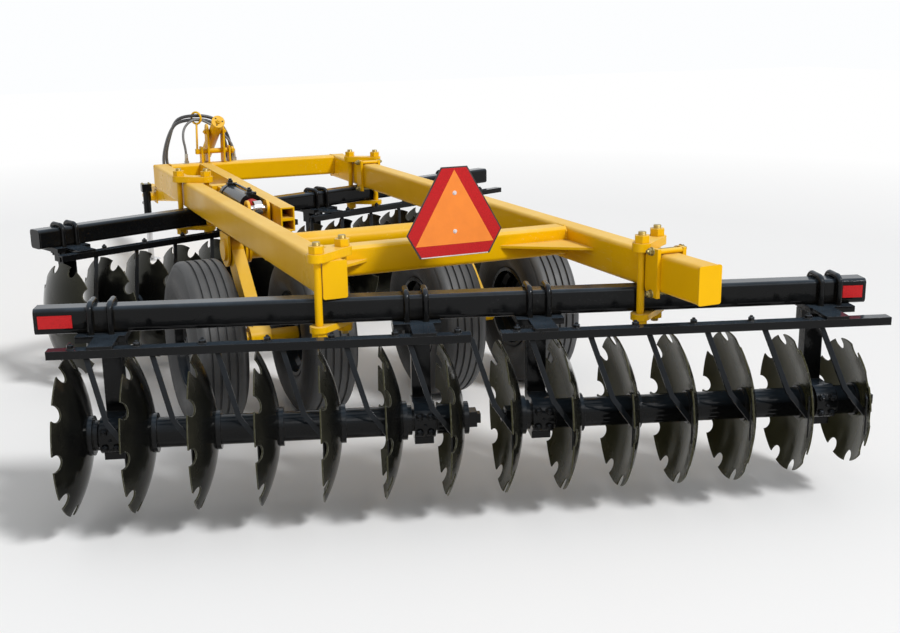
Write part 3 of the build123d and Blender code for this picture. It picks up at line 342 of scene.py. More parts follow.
paintSet = {
    "yellowPaint": {
        "base": colour(0.85, 0.475, 0.001), "shade": colour(0.75, 0.385, 0.001), "grime": 2.2,
        # Pale layer on the yellow tops: painted sheen with some dust
        "dust": colour(0.95, 0.84, 0.48), "dustAmount": 0.34, "dustRough": 0.5,
        "rub": colour(0.9, 0.62, 0.08), "rubAmount": 0.45, "edge": 0.004,
        "dirt": colour(0.2, 0.1, 0.01), "dirtAmount": 0.55,
        # Pale streaks on the yellow: scuffs with painted glare
        "scuff": colour(0.92, 0.72, 0.3), "scuffAmount": 0.5,
        "rough": (0.26, 0.4), "coat": 0.0, "shine": 0.11,
    },
    "blackPaint": {
        "base": colour(0.0035, 0.0037, 0.004), "shade": colour(0.007, 0.0073, 0.0078), "grime": 2.6,
        # Blue-grey layer on the black tops: painted reflection of sky
        "dust": colour(0.12, 0.175, 0.24), "dustAmount": 0.28, "dustRough": 0.1,
        "rub": colour(0.1, 0.1, 0.105), "rubAmount": 0.6, "edge": 0.0035,
        "dirt": colour(0.03, 0.024, 0.016), "dirtAmount": 0.5,
        "scuff": colour(0.05, 0.052, 0.055), "scuffAmount": 0.4,
        "rough": (0.07, 0.17), "coat": 0.0, "shine": 0.16,
    },
    "redPaint": {
        "base": colour(0.62, 0.02, 0.025), "shade": colour(0.48, 0.015, 0.02), "grime": 8.0,
        "dust": colour(0.35, 0.2, 0.15), "dustAmount": 0.25, "dustRough": 0.5,
        "rub": colour(0.75, 0.12, 0.1), "rubAmount": 0.5, "edge": 0.002,
        "dirt": colour(0.12, 0.02, 0.01), "dirtAmount": 0.5,
        "scuff": colour(0.75, 0.3, 0.25), "scuffAmount": 0.4,
        "rough": (0.3, 0.45), "coat": 0.1, "shine": 0.35,
    },
}
paintShared = {
    "dustRatio": 2.3, "patchShare": 0.55, "dirtReach": 0.05, "coatRough": 0.12, "relief": (0.0004, 0.35),
}


def makePaint(name):
    values = paintSet[name]
    material, tree, shader = startMaterial(name)
    grime = placeGroup(tree, grimeGroup, Scale=values["grime"])
    patches, speckle = grime.outputs["Patches"], grime.outputs["Speckle"]
    dustAndPaintedSheenScale = values["grime"] * paintShared["dustRatio"]
    layers = {
        # upward layer: dust, and painted sheen on the yellow and black tops
        "dust": placeGroup(tree, dustAndPaintedSheenGroup, Amount=values["dustAmount"], Scale=dustAndPaintedSheenScale),
        # streak layer: scuffs, with painted glare on the yellow
        "scuff": placeGroup(tree, scuffAndPaintedGlareGroup, Amount=values["scuffAmount"]),
        # corner layer: grime and painted shade in corners and recesses
        "dirt": placeGroup(tree, creviceDirtAndPaintedShadeGroup, Reach=paintShared["dirtReach"], Amount=values["dirtAmount"]),
    }
    edge = placeGroup(tree, edgeGroup, Radius=values["edge"])
    share = product(tree, patches, paintShared["patchShare"])
    tint = blendColour(tree, share, values["base"], values["shade"])
    rubbed = product(tree, edge.outputs["Edge"], speckle, values["rubAmount"])
    tint = blendColour(tree, rubbed, tint, values["rub"])
    for layer, group in layers.items():
        tint = blendColour(tree, group.outputs["Mask"], tint, values[layer])
    tree.links.new(tint, shader.inputs["Base Color"])
    dulled = product(tree, layers["dust"].outputs["Mask"], values["dustRough"])
    gloss = maths(tree, "ADD", ramp(tree, patches, 0.0, 1.0, *values["rough"]), dulled, True)
    tree.links.new(gloss, shader.inputs["Roughness"])
    shader.inputs["Specular IOR Level"].default_value = values["shine"]
    shader.inputs["Coat Weight"].default_value = values["coat"]
    shader.inputs["Coat Roughness"].default_value = paintShared["coatRough"]
    finishNormal(tree, shader, speckle, paintShared["relief"], edge.outputs["Normal"])
    return material


# Blades: black domed side, a painted olive reflection on the hollow side, rolled rings about the axle

bladeSet = {
    "base": colour(0.004, 0.0041, 0.004), "shade": colour(0.009, 0.0092, 0.0085), "grime": 3.4,
    # film: painted olive reflection of grassy ground on the hollow side
    "film": colour(0.058, 0.056, 0.025), "filmAmount": 0.9,
    "filmBand": (0.2, -0.4), "filmPatches": (0.6, 1.0),
    "dust": colour(0.06, 0.056, 0.034), "dustAmount": 0.15, "dustRatio": 2,
    "soilBand": (0.2, 0.3), "soilAmount": 0.25,  # distance from the axle
    "bright": colour(0.4, 0.4, 0.36), "brightAmount": 0.85, "edge": 0.0025,
    # sheen: olive tint on the blades' reflections, a painted reflection of grassy ground
    "rough": (0.1, 0.22), "shine": 0.16, "sheen": colour(0.9, 0.89, 0.55),
    "ringPitch": 0.009, "ringDepth": 0.12, "relief": (0.0005, 0.35),
}


def addGangRadius(tree, side):
    axle = barPoint(side, 0.0, -gangSizes["setback"], axleLevel)
    offset = vectorMaths(tree, "SUBTRACT", coords(tree), axle)
    return vectorMaths(tree, "LENGTH", vectorMaths(tree, "CROSS_PRODUCT", offset, barAxis(side)))


def addHollowSide(tree, side):
    domed = barAxis(side) * gangSet[side]["flip"]
    facing = vectorMaths(tree, "DOT_PRODUCT", coords(tree, "Normal"), domed)
    return ramp(tree, facing, *bladeSet["filmBand"])


def makeBladePaint(side):
    material, tree, shader = startMaterial(side + "BladePaint")
    grime = placeGroup(tree, grimeGroup, Scale=bladeSet["grime"])
    patches, speckle = grime.outputs["Patches"], grime.outputs["Speckle"]
    dustAndPaintedSheenScale = bladeSet["grime"] * bladeSet["dustRatio"]
    dust = placeGroup(tree, dustAndPaintedSheenGroup, Amount=bladeSet["dustAmount"], Scale=dustAndPaintedSheenScale)
    edge = placeGroup(tree, edgeGroup, Radius=bladeSet["edge"])
    radius = addGangRadius(tree, side)
    tint = blendColour(tree, patches, bladeSet["base"], bladeSet["shade"])
    # painted olive reflection on the hollow side, thinned in patches
    thinned = ramp(tree, patches, 0.0, 1.0, *bladeSet["filmPatches"])
    film = product(tree, addHollowSide(tree, side), bladeSet["filmAmount"], thinned)
    tint = blendColour(tree, film, tint, bladeSet["film"])
    worn = product(tree, edge.outputs["Edge"], speckle, bladeSet["brightAmount"])
    tint = blendColour(tree, worn, tint, bladeSet["bright"])
    soil = product(tree, ramp(tree, radius, *bladeSet["soilBand"]), patches, bladeSet["soilAmount"])
    tint = blendColour(tree, maths(tree, "MAXIMUM", soil, dust.outputs["Mask"]), tint, bladeSet["dust"])
    tree.links.new(tint, shader.inputs["Base Color"])
    gloss = maths(tree, "ADD", ramp(tree, patches, 0.0, 1.0, *bladeSet["rough"]), soil)
    tree.links.new(gloss, shader.inputs["Roughness"])
    shader.inputs["Specular IOR Level"].default_value = bladeSet["shine"]
    # olive tint on the reflections: painted reflection of grassy ground
    shader.inputs["Specular Tint"].default_value = bladeSet["sheen"]
    rings = maths(tree, "SINE", product(tree, radius, 2 * pi / bladeSet["ringPitch"]))
    height = maths(tree, "ADD", product(tree, rings, bladeSet["ringDepth"]), speckle)
    finishNormal(tree, shader, height, bladeSet["relief"], edge.outputs["Normal"])
    return material


# Tyres: dusty tread, darker sidewall with moulded rings

tyreSet = {
    "axle": (1.236, 0.408), "rubber": colour(0.012, 0.012, 0.0125), "dust": colour(0.36, 0.37, 0.38),
    "treadBand": (0.373, 0.396, 0.035, 0.195), "dustPatches": (0.35, 1.0),
    "grime": 4.5, "rough": (0.45, 0.68),
    "ringPitch": 0.012, "ringBand": (0.25, 0.345), "ringFade": 0.01, "ringFloor": 0.4,
    "grain": 0.25, "edge": 0.004, "relief": (0.0015, 0.8),
}


def makeTyreRubber():
    material, tree, shader = startMaterial("tyreRubber")
    offset = vectorMaths(tree, "SUBTRACT", coords(tree), spot(0, *tyreSet["axle"]))
    radius = vectorMaths(tree, "LENGTH", vectorMaths(tree, "MULTIPLY", offset, (0, 1, 1)))
    grime = placeGroup(tree, grimeGroup, Scale=tyreSet["grime"])
    patches = grime.outputs["Patches"]
    dusty = ramp(tree, patches, 0.0, 1.0, *tyreSet["dustPatches"])
    # On the tyres this layer is dust on the tread.
    film = product(tree, ramp(tree, radius, *tyreSet["treadBand"]), dusty)
    tree.links.new(blendColour(tree, film, tyreSet["rubber"], tyreSet["dust"]), shader.inputs["Base Color"])
    tree.links.new(ramp(tree, patches, 0.0, 1.0, *tyreSet["rough"]), shader.inputs["Roughness"])
    wave = maths(tree, "SINE", product(tree, radius, 2 * pi / tyreSet["ringPitch"]))
    low, high = tyreSet["ringBand"]
    fade = tyreSet["ringFade"]
    band = product(tree, ramp(tree, radius, low, low + fade), ramp(tree, radius, high, high - fade))
    rings = product(tree, maths(tree, "MAXIMUM", wave, tyreSet["ringFloor"]), band)
    height = maths(tree, "ADD", rings, product(tree, grime.outputs["Speckle"], tyreSet["grain"]))
    edge = placeGroup(tree, edgeGroup, Radius=tyreSet["edge"])
    finishNormal(tree, shader, height, tyreSet["relief"], edge.outputs["Normal"])
    return material


# Plainer finishes: two tones, a range of roughness, fine speckle

plainSet = {
    "hoseRubber": {
        "base": colour(0.02, 0.02, 0.022), "shade": colour(0.05, 0.05, 0.052),
        "rough": (0.3, 0.5), "metal": 0.0,
    },
    "thinHoseSkin": {
        "base": colour(0.12, 0.12, 0.12), "shade": colour(0.2, 0.2, 0.2),
        "rough": (0.4, 0.55), "metal": 0.0,
    },
    "platedSteel": {
        "base": colour(0.55, 0.53, 0.48), "shade": colour(0.38, 0.35, 0.28),
        "rough": (0.25, 0.45), "metal": 1.0,
    },
    "zincSteel": {
        "base": colour(0.42, 0.36, 0.17), "shade": colour(0.27, 0.22, 0.08),
        "rough": (0.3, 0.5), "metal": 0.8,
    },
    "brightRod": {
        "base": colour(0.68, 0.68, 0.69), "shade": colour(0.5, 0.5, 0.5),
        "rough": (0.1, 0.24), "metal": 1.0,
    },
    "emblemOrange": {
        "base": colour(0.9, 0.245, 0.022), "shade": colour(0.82, 0.215, 0.02),
        "rough": (0.4, 0.5), "metal": 0.0,
    },
    "emblemBacking": {
        "base": colour(0.02, 0.012, 0.012), "shade": colour(0.05, 0.03, 0.03),
        "rough": (0.4, 0.5), "metal": 0.0,
    },
    "emblemTrim": {
        "base": colour(0.75, 0.7, 0.68), "shade": colour(0.6, 0.5, 0.5),
        "rough": (0.3, 0.4), "metal": 0.0,
    },
}
plainShared = {"grime": 12.0, "relief": (0.0003, 0.3)}


def makePlain(name):
    values = plainSet[name]
    material, tree, shader = startMaterial(name)
    grime = placeGroup(tree, grimeGroup, Scale=plainShared["grime"])
    speckle = grime.outputs["Speckle"]
    tint = blendColour(tree, grime.outputs["Patches"], values["base"], values["shade"])
    tree.links.new(tint, shader.inputs["Base Color"])
    tree.links.new(ramp(tree, speckle, 0.0, 1.0, *values["rough"]), shader.inputs["Roughness"])
    shader.inputs["Metallic"].default_value = values["metal"]
    finishNormal(tree, shader, speckle, plainShared["relief"])
    return material


# Reflectors: small cells under a red lens

reflexSet = {
    "base": colour(0.6, 0.01, 0.013), "deep": colour(0.42, 0.006, 0.008),
    "cell": 260.0, "cellBand": (0.1, 0.7),
    "rough": 0.3, "shine": 0.25, "relief": (0.0006, 0.5),
}


def makeReflexRed():
    material, tree, shader = startMaterial("reflexRed")
    cells = addNode(tree, "ShaderNodeTexVoronoi")
    tree.links.new(coords(tree), cells.inputs["Vector"])
    cells.inputs["Scale"].default_value = reflexSet["cell"]
    facet = cells.outputs["Distance"]
    share = ramp(tree, facet, *reflexSet["cellBand"])
    tint = blendColour(tree, share, reflexSet["base"], reflexSet["deep"])
    tree.links.new(tint, shader.inputs["Base Color"])
    shader.inputs["Roughness"].default_value = reflexSet["rough"]
    shader.inputs["Specular IOR Level"].default_value = reflexSet["shine"]
    finishNormal(tree, shader, facet, reflexSet["relief"])
    return material


materials = {name: makePaint(name) for name in paintSet}
materials.update({name: makePlain(name) for name in plainSet})
materials.update({side + "BladePaint": makeBladePaint(side) for side in gangSet})
materials["tyreRubber"] = makeTyreRubber()
materials["reflexRed"] = makeReflexRed()
print("materials made:", len(materials))

slotFinish = {
    "yellow_paint": "yellowPaint", "black_paint": "blackPaint", "blade_steel": "BladePaint",
    "tyre_rubber": "tyreRubber", "bright_rod": "brightRod", "red_paint": "redPaint",
    "hose_rubber": "hoseRubber", "plated_steel": "platedSteel", "emblem_orange": "emblemBacking",
    "reflector_red": "reflexRed",
}
for part in frame["record"]["subparts"]:
    finishName = slotFinish[part["material_slot"]]
    if finishName == "BladePaint":
        finishName = part["node"].split("_")[0] + finishName  # rear or front, as the node's name starts
    finish = materials[finishName]
    mesh = nodes[part["node"]].data
    if not mesh.materials:
        mesh.materials.append(finish)
    for index in range(len(mesh.materials)):
        mesh.materials[index] = finish
print("frame dressed")


# Piece helpers

sharpAngle = radians(32)
boltShape = {  # shares of the bolt's own sizes
    "washerThick": 0.16, "washerTop": 0.95, "headShare": 0.8, "headTop": 0.8,
    "studShare": 0.9, "studTop": 0.85, "studSides": 16,
}


def finishPiece(name, shape, finish, body, smooth=True):
    bmesh.ops.recalc_face_normals(shape, faces=shape.faces)
    mesh = bpy.data.meshes.new(name)
    shape.to_mesh(mesh)
    shape.free()
    mesh.materials.append(materials[finish])
    if smooth:
        mesh.shade_smooth()
        mesh.set_sharp_from_angle(angle=sharpAngle)
    piece = addObject(name, mesh)
    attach(piece, body)
    return piece


def lookAlong(base, aim):
    return Matrix.Translation(base) @ Vector(aim).to_track_quat("Z", "Y").to_matrix().to_4x4()


def addRound(shape, place, radius, start, depth, top=None, segments=24):
    bmesh.ops.create_cone(
        shape, cap_ends=True, segments=segments, radius1=radius, radius2=radius if top is None else top,
        depth=depth, matrix=place @ Matrix.Translation((0, 0, start + depth / 2)),
    )


def addRidges(shape, place, radius, root, start, pitch, count, segments):
    half = pitch / 2
    for step in range(count):
        level = start + step * pitch
        addRound(shape, place, radius * root, level, half, radius, segments)
        addRound(shape, place, radius, level + half, half, radius * root, segments)


def addHexBolt(shape, base, aim, flats, height, washer=0.0, stud=0.0, turn=0.0):
    place = lookAlong(base, aim) @ Matrix.Rotation(turn, 4, "Z")
    level = washer * boltShape["washerThick"]
    if washer:
        addRound(shape, place, washer, 0.0, level, washer * boltShape["washerTop"])
    corner = flats / sqrt(3)
    straight = height * boltShape["headShare"]
    addRound(shape, place, corner, level, straight, corner, 6)
    addRound(shape, place, corner, level + straight, height - straight, corner * boltShape["headTop"], 6)
    if stud:
        length = stud * boltShape["studShare"]
        tip = stud * boltShape["studTop"]
        addRound(shape, place, stud, level + height, length, tip, boltShape["studSides"])


def linkedEdges(verts):
    return list(dict.fromkeys(edge for vert in verts for edge in vert.link_edges))  # each once, in order


def addBlock(shape, centre, half, rounding, segments=2, picks=None):
    matrix = Matrix.Translation(centre) @ Matrix.Diagonal((*half, 1))
    made = bmesh.ops.create_cube(shape, size=2.0, matrix=matrix)
    edges = [edge for edge in linkedEdges(made["verts"]) if picks is None or picks(edge)]
    bmesh.ops.bevel(
        shape, geom=edges, offset=rounding, segments=segments, profile=0.5, affect="EDGES", material=-1
    )


def addPlate(shape, centre, half, axis, rounding, segments, frontOnly=False):
    def isCorner(edge):
        first, second = (vert.co for vert in edge.verts)
        through = abs(first[axis] - second[axis]) > half[axis]
        return through and (first.y > centre.y or not frontOnly)

    addBlock(shape, centre, half, rounding, segments, isCorner)


# Hoses: the part's own routes as smooth splines

hoseSet = {
    "hoseLeft": {
        "node": "hose_left", "radius": 0.011, "length": 1.99, "end": "connector", "skin": "hoseRubber",
        "route": [
            (-0.156, 3.622, 1.0), (-0.156, 3.622, 1.088), (-0.172, 3.634, 1.174), (-0.214, 3.64, 1.25),
            (-0.274, 3.64, 1.288), (-0.376, 3.64, 1.297), (-0.46, 3.716, 1.278), (-0.476, 3.856, 1.222),
            (-0.478, 4.05, 1.126), (-0.466, 4.29, 0.992), (-0.42, 4.54, 0.868), (-0.352, 4.74, 0.776),
            (-0.302, 4.9, 0.7202), (-0.296, 5.02, 0.7046),
        ],
    },
    "hoseRight": {
        "node": "hose_right", "radius": 0.011, "length": 2.06, "end": "connector", "skin": "hoseRubber",
        "route": [
            (-0.126, 3.622, 1.0), (-0.126, 3.622, 1.092), (-0.144, 3.63, 1.186), (-0.188, 3.632, 1.266),
            (-0.258, 3.63, 1.312), (-0.364, 3.628, 1.324), (-0.446, 3.704, 1.308), (-0.462, 3.846, 1.252),
            (-0.458, 4.046, 1.15), (-0.446, 4.29, 1.012), (-0.392, 4.55, 0.882), (-0.312, 4.75, 0.79),
            (-0.254, 4.905, 0.7196), (-0.25, 5.03, 0.7033),
        ],
    },
    "hoseShort": {
        "node": "hose_short", "radius": 0.008, "length": 0.69, "end": "object", "skin": "thinHoseSkin",
        "route": [
            (-0.45, 3.541, 1.047), (-0.45, 3.541, 1.11), (-0.462, 3.556, 1.178), (-0.448, 3.582, 1.244),
            (-0.4, 3.602, 1.29), (-0.334, 3.617, 1.3), (-0.272, 3.622, 1.27), (-0.216, 3.606, 1.232),
            (-0.166, 3.594, 1.178), (-0.122, 3.576, 1.116), (-0.122, 3.576, 1.052),
        ],
    },
}
hoseShape = {"rounding": 6, "steps": 16, "order": 3}  # fineness of the tube and of its curve


def makeHose(name):
    values = hoseSet[name]
    route = [spot(*point) for point in values["route"]]
    curve = bpy.data.curves.new(name, "CURVE")
    curve.dimensions = "3D"
    curve.bevel_depth = values["radius"]
    curve.bevel_resolution = hoseShape["rounding"]
    curve.resolution_u = hoseShape["steps"]
    curve.use_fill_caps = True
    line = curve.splines.new("NURBS")
    line.points.add(len(route) - 1)
    for point, place in zip(line.points, route):
        point.co = (*place, 1.0)
    line.order_u = hoseShape["order"]
    line.use_endpoint_u = True
    curve.materials.append(materials[values["skin"]])
    hose = addObject(name, curve)
    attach(hose, "frame")
    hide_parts(values["node"])


for hoseName in hoseSet:
    makeHose(hoseName)
print("hoses laid")


# Slow-vehicle emblem: red border, orange triangle, pale strip and two rivets on the frame's dark plate

emblemSet = {
    "half": 0.21, "height": 0.362, "tip": 0.114, "inset": 0.056, "rise": 0.098, "rim": 0.0055,
    "rimSide": 1.15, "rimTop": 0.6,  # the rim's share that shows at the sides and the top
    "baseHalf": 0.172, "base": 0.05, "apex": 0.35,
    "borderThick": 0.0008, "faceThick": 0.0006, "stripThick": 0.0007, "stripLow": 0.001, "stripShare": 0.9,
    "rivets": (0.102, 0.257), "collar": (0.009, 0.0012, 0.0088), "head": (0.0065, 0.0028, 0.0045),
}


def addSheet(shape, corners, rear, thick):
    ring = [shape.verts.new((x, rear, z)) for x, z in corners]
    face = shape.faces.new(ring)
    grown = bmesh.ops.extrude_face_region(shape, geom=[face])
    moved = [item for item in grown["geom"] if isinstance(item, bmesh.types.BMVert)]
    bmesh.ops.translate(shape, verts=moved, vec=(0, -thick, 0))


def makeEmblem():
    low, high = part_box("emblem")
    middle = (low.x + high.x) / 2
    base, rear, rim = low.z, low.y, emblemSet["rim"]
    half = emblemSet["half"] - rim * emblemSet["rimSide"]
    span = half - emblemSet["inset"]
    tip = emblemSet["tip"] / 2 - rim * emblemSet["rimTop"]
    rise, top = base + emblemSet["rise"], base + emblemSet["height"] - rim
    border = bmesh.new()
    addSheet(border, [
        (middle - span, base + rim), (middle + span, base + rim), (middle + half, rise),
        (middle + tip, top), (middle - tip, top), (middle - half, rise),
    ], rear, emblemSet["borderThick"])
    finishPiece("emblemBorder", border, "reflexRed", "frame", False)
    face = bmesh.new()
    foot = base + emblemSet["base"]
    addSheet(face, [
        (middle - emblemSet["baseHalf"], foot), (middle + emblemSet["baseHalf"], foot),
        (middle, base + emblemSet["apex"]),
    ], rear - emblemSet["borderThick"], emblemSet["faceThick"])
    finishPiece("emblemTriangle", face, "emblemOrange", "frame", False)
    trim = bmesh.new()
    under, over = base + emblemSet["stripLow"], base + rim * emblemSet["stripShare"]
    addSheet(trim, [
        (middle - span, under), (middle + span, under), (middle + span, over), (middle - span, over),
    ], rear, emblemSet["stripThick"])
    finishPiece("emblemTrimStrip", trim, "emblemTrim", "frame", False)
    rivets = bmesh.new()
    seat = rear - emblemSet["borderThick"] - emblemSet["faceThick"]
    for level in emblemSet["rivets"]:
        place = lookAlong(Vector((middle, seat, base + level)), (0, -1, 0))
        start = 0.0
        for radius, depth, end in (emblemSet["collar"], emblemSet["head"]):
            addRound(rivets, place, radius, start, depth, end)
            start += depth
    finishPiece("emblemRivets", rivets, "emblemTrim", "frame")


makeEmblem()
print("emblem faced")


# Bolts that hold the scrapers on their angle bars. A bolt is flats, height, washer, stud

scraperSet = {
    "back": 0.025, "reach": 0.218, "top": 0.751, "bolt": (0.024, 0.014, 0.018, 0.007), "twist": 0.7,
}


def makeScraperBolts():
    shape = bmesh.new()
    for side in gangSet:
        for index, hub in enumerate(barHubs(side)[:-1]):
            base = barPoint(side, hub - scraperSet["back"], -scraperSet["reach"], scraperSet["top"])
            addHexBolt(shape, base, (0, 0, 1), *scraperSet["bolt"], index * scraperSet["twist"])
    finishPiece("scraperBolts", shape, "blackPaint", "frame")


# Four cap bolts and a grease nipple on the rear of each gang bearing

bearingSet = {
    "hubs": (0, 5, 7, 12), "offset": 0.086, "across": 0.022, "rise": 0.032,
    "boltBack": 0.061, "bolt": (0.024, 0.014, 0.017, 0.007),
    "nippleBack": 0.069, "nippleHex": 0.006, "nippleNeck": 0.0035, "nippleTip": 0.002,
    "nippleStep": 0.008, "nippleSides": 12,
}


def makeBearingTrim():
    shape = bmesh.new()
    step = bearingSet["nippleStep"]
    for side in gangSet:
        axis = barAxis(side)
        behind = Vector((axis.y, -axis.x, 0))
        hubs = barHubs(side)
        for index in bearingSet["hubs"]:
            centre = hubs[index] + bearingSet["offset"]
            back = -gangSizes["setback"] - bearingSet["boltBack"]
            for across in (-bearingSet["across"], bearingSet["across"]):
                for rise in (-bearingSet["rise"], bearingSet["rise"]):
                    base = barPoint(side, centre + across, back, axleLevel + rise)
                    addHexBolt(shape, base, behind, *bearingSet["bolt"], index)
            nipple = barPoint(side, centre, -gangSizes["setback"] - bearingSet["nippleBack"], axleLevel)
            place = lookAlong(nipple, behind)
            addRound(shape, place, bearingSet["nippleHex"], 0.0, step, None, 6)
            neck, tip = bearingSet["nippleNeck"], bearingSet["nippleTip"]
            addRound(shape, place, neck, step, step, tip, bearingSet["nippleSides"])
    finishPiece("bearingBolts", shape, "blackPaint", "frame")


makeScraperBolts()
makeBearingTrim()
print("gang fasteners set")


# Wheel nuts and hub caps

wheelSet = {
    "axle": (1.236, 0.408), "spread": (-0.878, -0.342, 0.342, 0.878), "domes": (-1, 1, -1, 1),
    "nuts": 6, "nutRing": 0.09, "nutSeat": 0.026, "nut": (0.027, 0.02, 0.018, 0.008),
    "capSeat": 0.085, "capSteps": ((0.045, 0.041), (0.04, 0.0275)), "capStep": 0.006, "capSides": 32,
}


def makeWheelNuts():
    y, z = wheelSet["axle"]
    depth, sides = wheelSet["capStep"], wheelSet["capSides"]
    for index, (x, dome) in enumerate(zip(wheelSet["spread"], wheelSet["domes"])):
        shape = bmesh.new()
        for step in range(wheelSet["nuts"]):
            turn = 2 * pi * step / wheelSet["nuts"]
            nutY, nutZ = y + wheelSet["nutRing"] * cos(turn), z + wheelSet["nutRing"] * sin(turn)
            base = spot(x + dome * wheelSet["nutSeat"], nutY, nutZ)
            addHexBolt(shape, base, (dome, 0, 0), *wheelSet["nut"], step)
        place = lookAlong(spot(x + dome * wheelSet["capSeat"], y, z), (dome, 0, 0))
        for step, (radius, top) in enumerate(wheelSet["capSteps"]):
            addRound(shape, place, radius, step * depth, depth, top, sides)
        body = "transport_wheel_%d" % (index + 1)
        finishPiece("wheelNuts%d" % (index + 1), shape, "blackPaint", body)


makeWheelNuts()
print("wheels bolted")


# Rail ends: flat plates with rounded corners, welded over the tubes

capSet = {
    "half": (0.051, 0.004, 0.076), "offset": 0.61, "level": 0.941, "round": 0.009, "segments": 4,
    "ends": ((-1, 0.004), (1, -0.741)), "front": 3.588,
}


def makeRailEnds():
    shape = bmesh.new()
    for side, rear in capSet["ends"]:
        for y in (rear, capSet["front"]):
            centre = spot(side * capSet["offset"], y, capSet["level"])
            addPlate(shape, centre, capSet["half"], 1, capSet["round"], capSet["segments"])
    ends = finishPiece("railEnds", shape, "yellowPaint", "frame")
    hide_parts("rail_caps")


# Stops on the right rail: round-fronted cheek plates, a bar across the top and two through bolts

stopSet = {
    "x": 0.61, "railHalf": 0.051, "railTop": 1.017, "railUnder": 0.865,
    "plate": 0.008, "rear": 0.032, "front": 0.052, "low": 0.843, "high": 1.039,
    "round": 0.044, "segments": 10,
    "bar": 0.011, "barBack": 0.02, "barSides": 20,
    "bolt": 0.0095, "boltAhead": 0.008, "boltSides": 16, "nut": (0.026, 0.014, 0.018, 0.009),
}


def makeRailStops():
    low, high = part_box("stop_collars")
    plates, bolts = bmesh.new(), bmesh.new()
    railHalf, plate = stopSet["railHalf"], stopSet["plate"]
    left = stopSet["x"] - railHalf
    level = (stopSet["low"] + stopSet["high"]) / 2
    half = (plate, (stopSet["rear"] + stopSet["front"]) / 2, (stopSet["high"] - stopSet["low"]) / 2)
    for middle in (low.y + stopSet["rear"], high.y - stopSet["rear"]):
        y = middle - workOrigin.y
        ahead = y + (stopSet["front"] - stopSet["rear"]) / 2
        for side in (-1, 1):
            centre = spot(stopSet["x"] + side * (railHalf + plate), ahead, level)
            addPlate(plates, centre, half, 0, stopSet["round"], stopSet["segments"], True)
        start = spot(left, y - stopSet["barBack"], stopSet["railTop"] + stopSet["bar"])
        place = lookAlong(start, (1, 0, 0))
        addRound(plates, place, stopSet["bar"], 0.0, 2 * railHalf, None, stopSet["barSides"])
        for z in (stopSet["railTop"] + stopSet["bolt"], stopSet["railUnder"] - stopSet["bolt"]):
            place = lookAlong(spot(left, y + stopSet["boltAhead"], z), (1, 0, 0))
            addRound(bolts, place, stopSet["bolt"], 0.0, 2 * railHalf, None, stopSet["boltSides"])
            for side in (-1, 1):
                base = spot(stopSet["x"] + side * (railHalf + 2 * plate), y + stopSet["boltAhead"], z)
                addHexBolt(bolts, base, (side, 0, 0), *stopSet["nut"], z)
    stops = finishPiece("railStops", plates, "yellowPaint", "frame")
    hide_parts("stop_collars")
    finishPiece("railStopBolts", bolts, "zincSteel", "frame")


makeRailEnds()
makeRailStops()
print("rail ends and stops done")


# Threaded ends of the clamp bolts, above the upper nuts and under the lower ones

threadSet = {
    "rails": (-0.61, 0.61), "reach": 0.0695,  # from a rail's and a bar's middle line to the bolt
    "ends": ((1.095, 1), (0.694, -1)), "radius": 0.0162, "tail": 0.013, "pitch": 0.0032, "root": 0.95,
    "capSink": 0.0005, "capDepth": 0.0012, "capTop": 0.88, "sides": 24,
}


def clampBoltPlaces():
    places = []
    for values in gangSet.values():
        turn = radians(values["angle"])
        centreX, centreY = values["centre"]
        step = threadSet["reach"] * (1 - abs(sin(turn))) / cos(turn)
        step = -step if turn > 0 else step
        for rail in threadSet["rails"]:
            crossing = centreY + tan(turn) * (rail - centreX)
            for way in (-1, 1):
                places.append((rail + way * threadSet["reach"], crossing + way * step))
    return places


def makeThreads():
    shape = bmesh.new()
    radius, root, tail = threadSet["radius"], threadSet["root"], threadSet["tail"]
    pitch, sides = threadSet["pitch"], threadSet["sides"]
    for x, y in clampBoltPlaces():
        for tip, way in threadSet["ends"]:
            place = lookAlong(spot(x, y, tip - way * tail), (0, 0, way))
            addRidges(shape, place, radius, root, 0.0, pitch, int(tail / pitch), sides)
            start = tail - threadSet["capSink"]
            top = radius * threadSet["capTop"]
            addRound(shape, place, radius * root, start, threadSet["capDepth"], top, sides)
    finishPiece("clampThreads", shape, "zincSteel", "frame")


makeThreads()
print("clamp bolts threaded")


# Levelling screw cap, mast pin nut and trunnion nuts. A nut is flats, height, washer, stud and its turn

mastSet = {
    "x": -0.255, "slope": 30, "cap": (3.4, 1.294), "capNut": (0.03, 0.012, 0.0, 0.008, 0.3),
    "pin": (3.546, 1.092), "pinHalf": 0.108, "pinNut": (0.04, 0.014, 0.024, 0.009),
    "trunnion": (3.526, 1.2213), "trunnionHalf": 0.063, "trunnionNut": (0.026, 0.01, 0.0, 0.006),
    "plugs": 3, "plugRing": 0.027, "plug": (0.0055, 0.0, 0.0012, 0.004, 16),
}


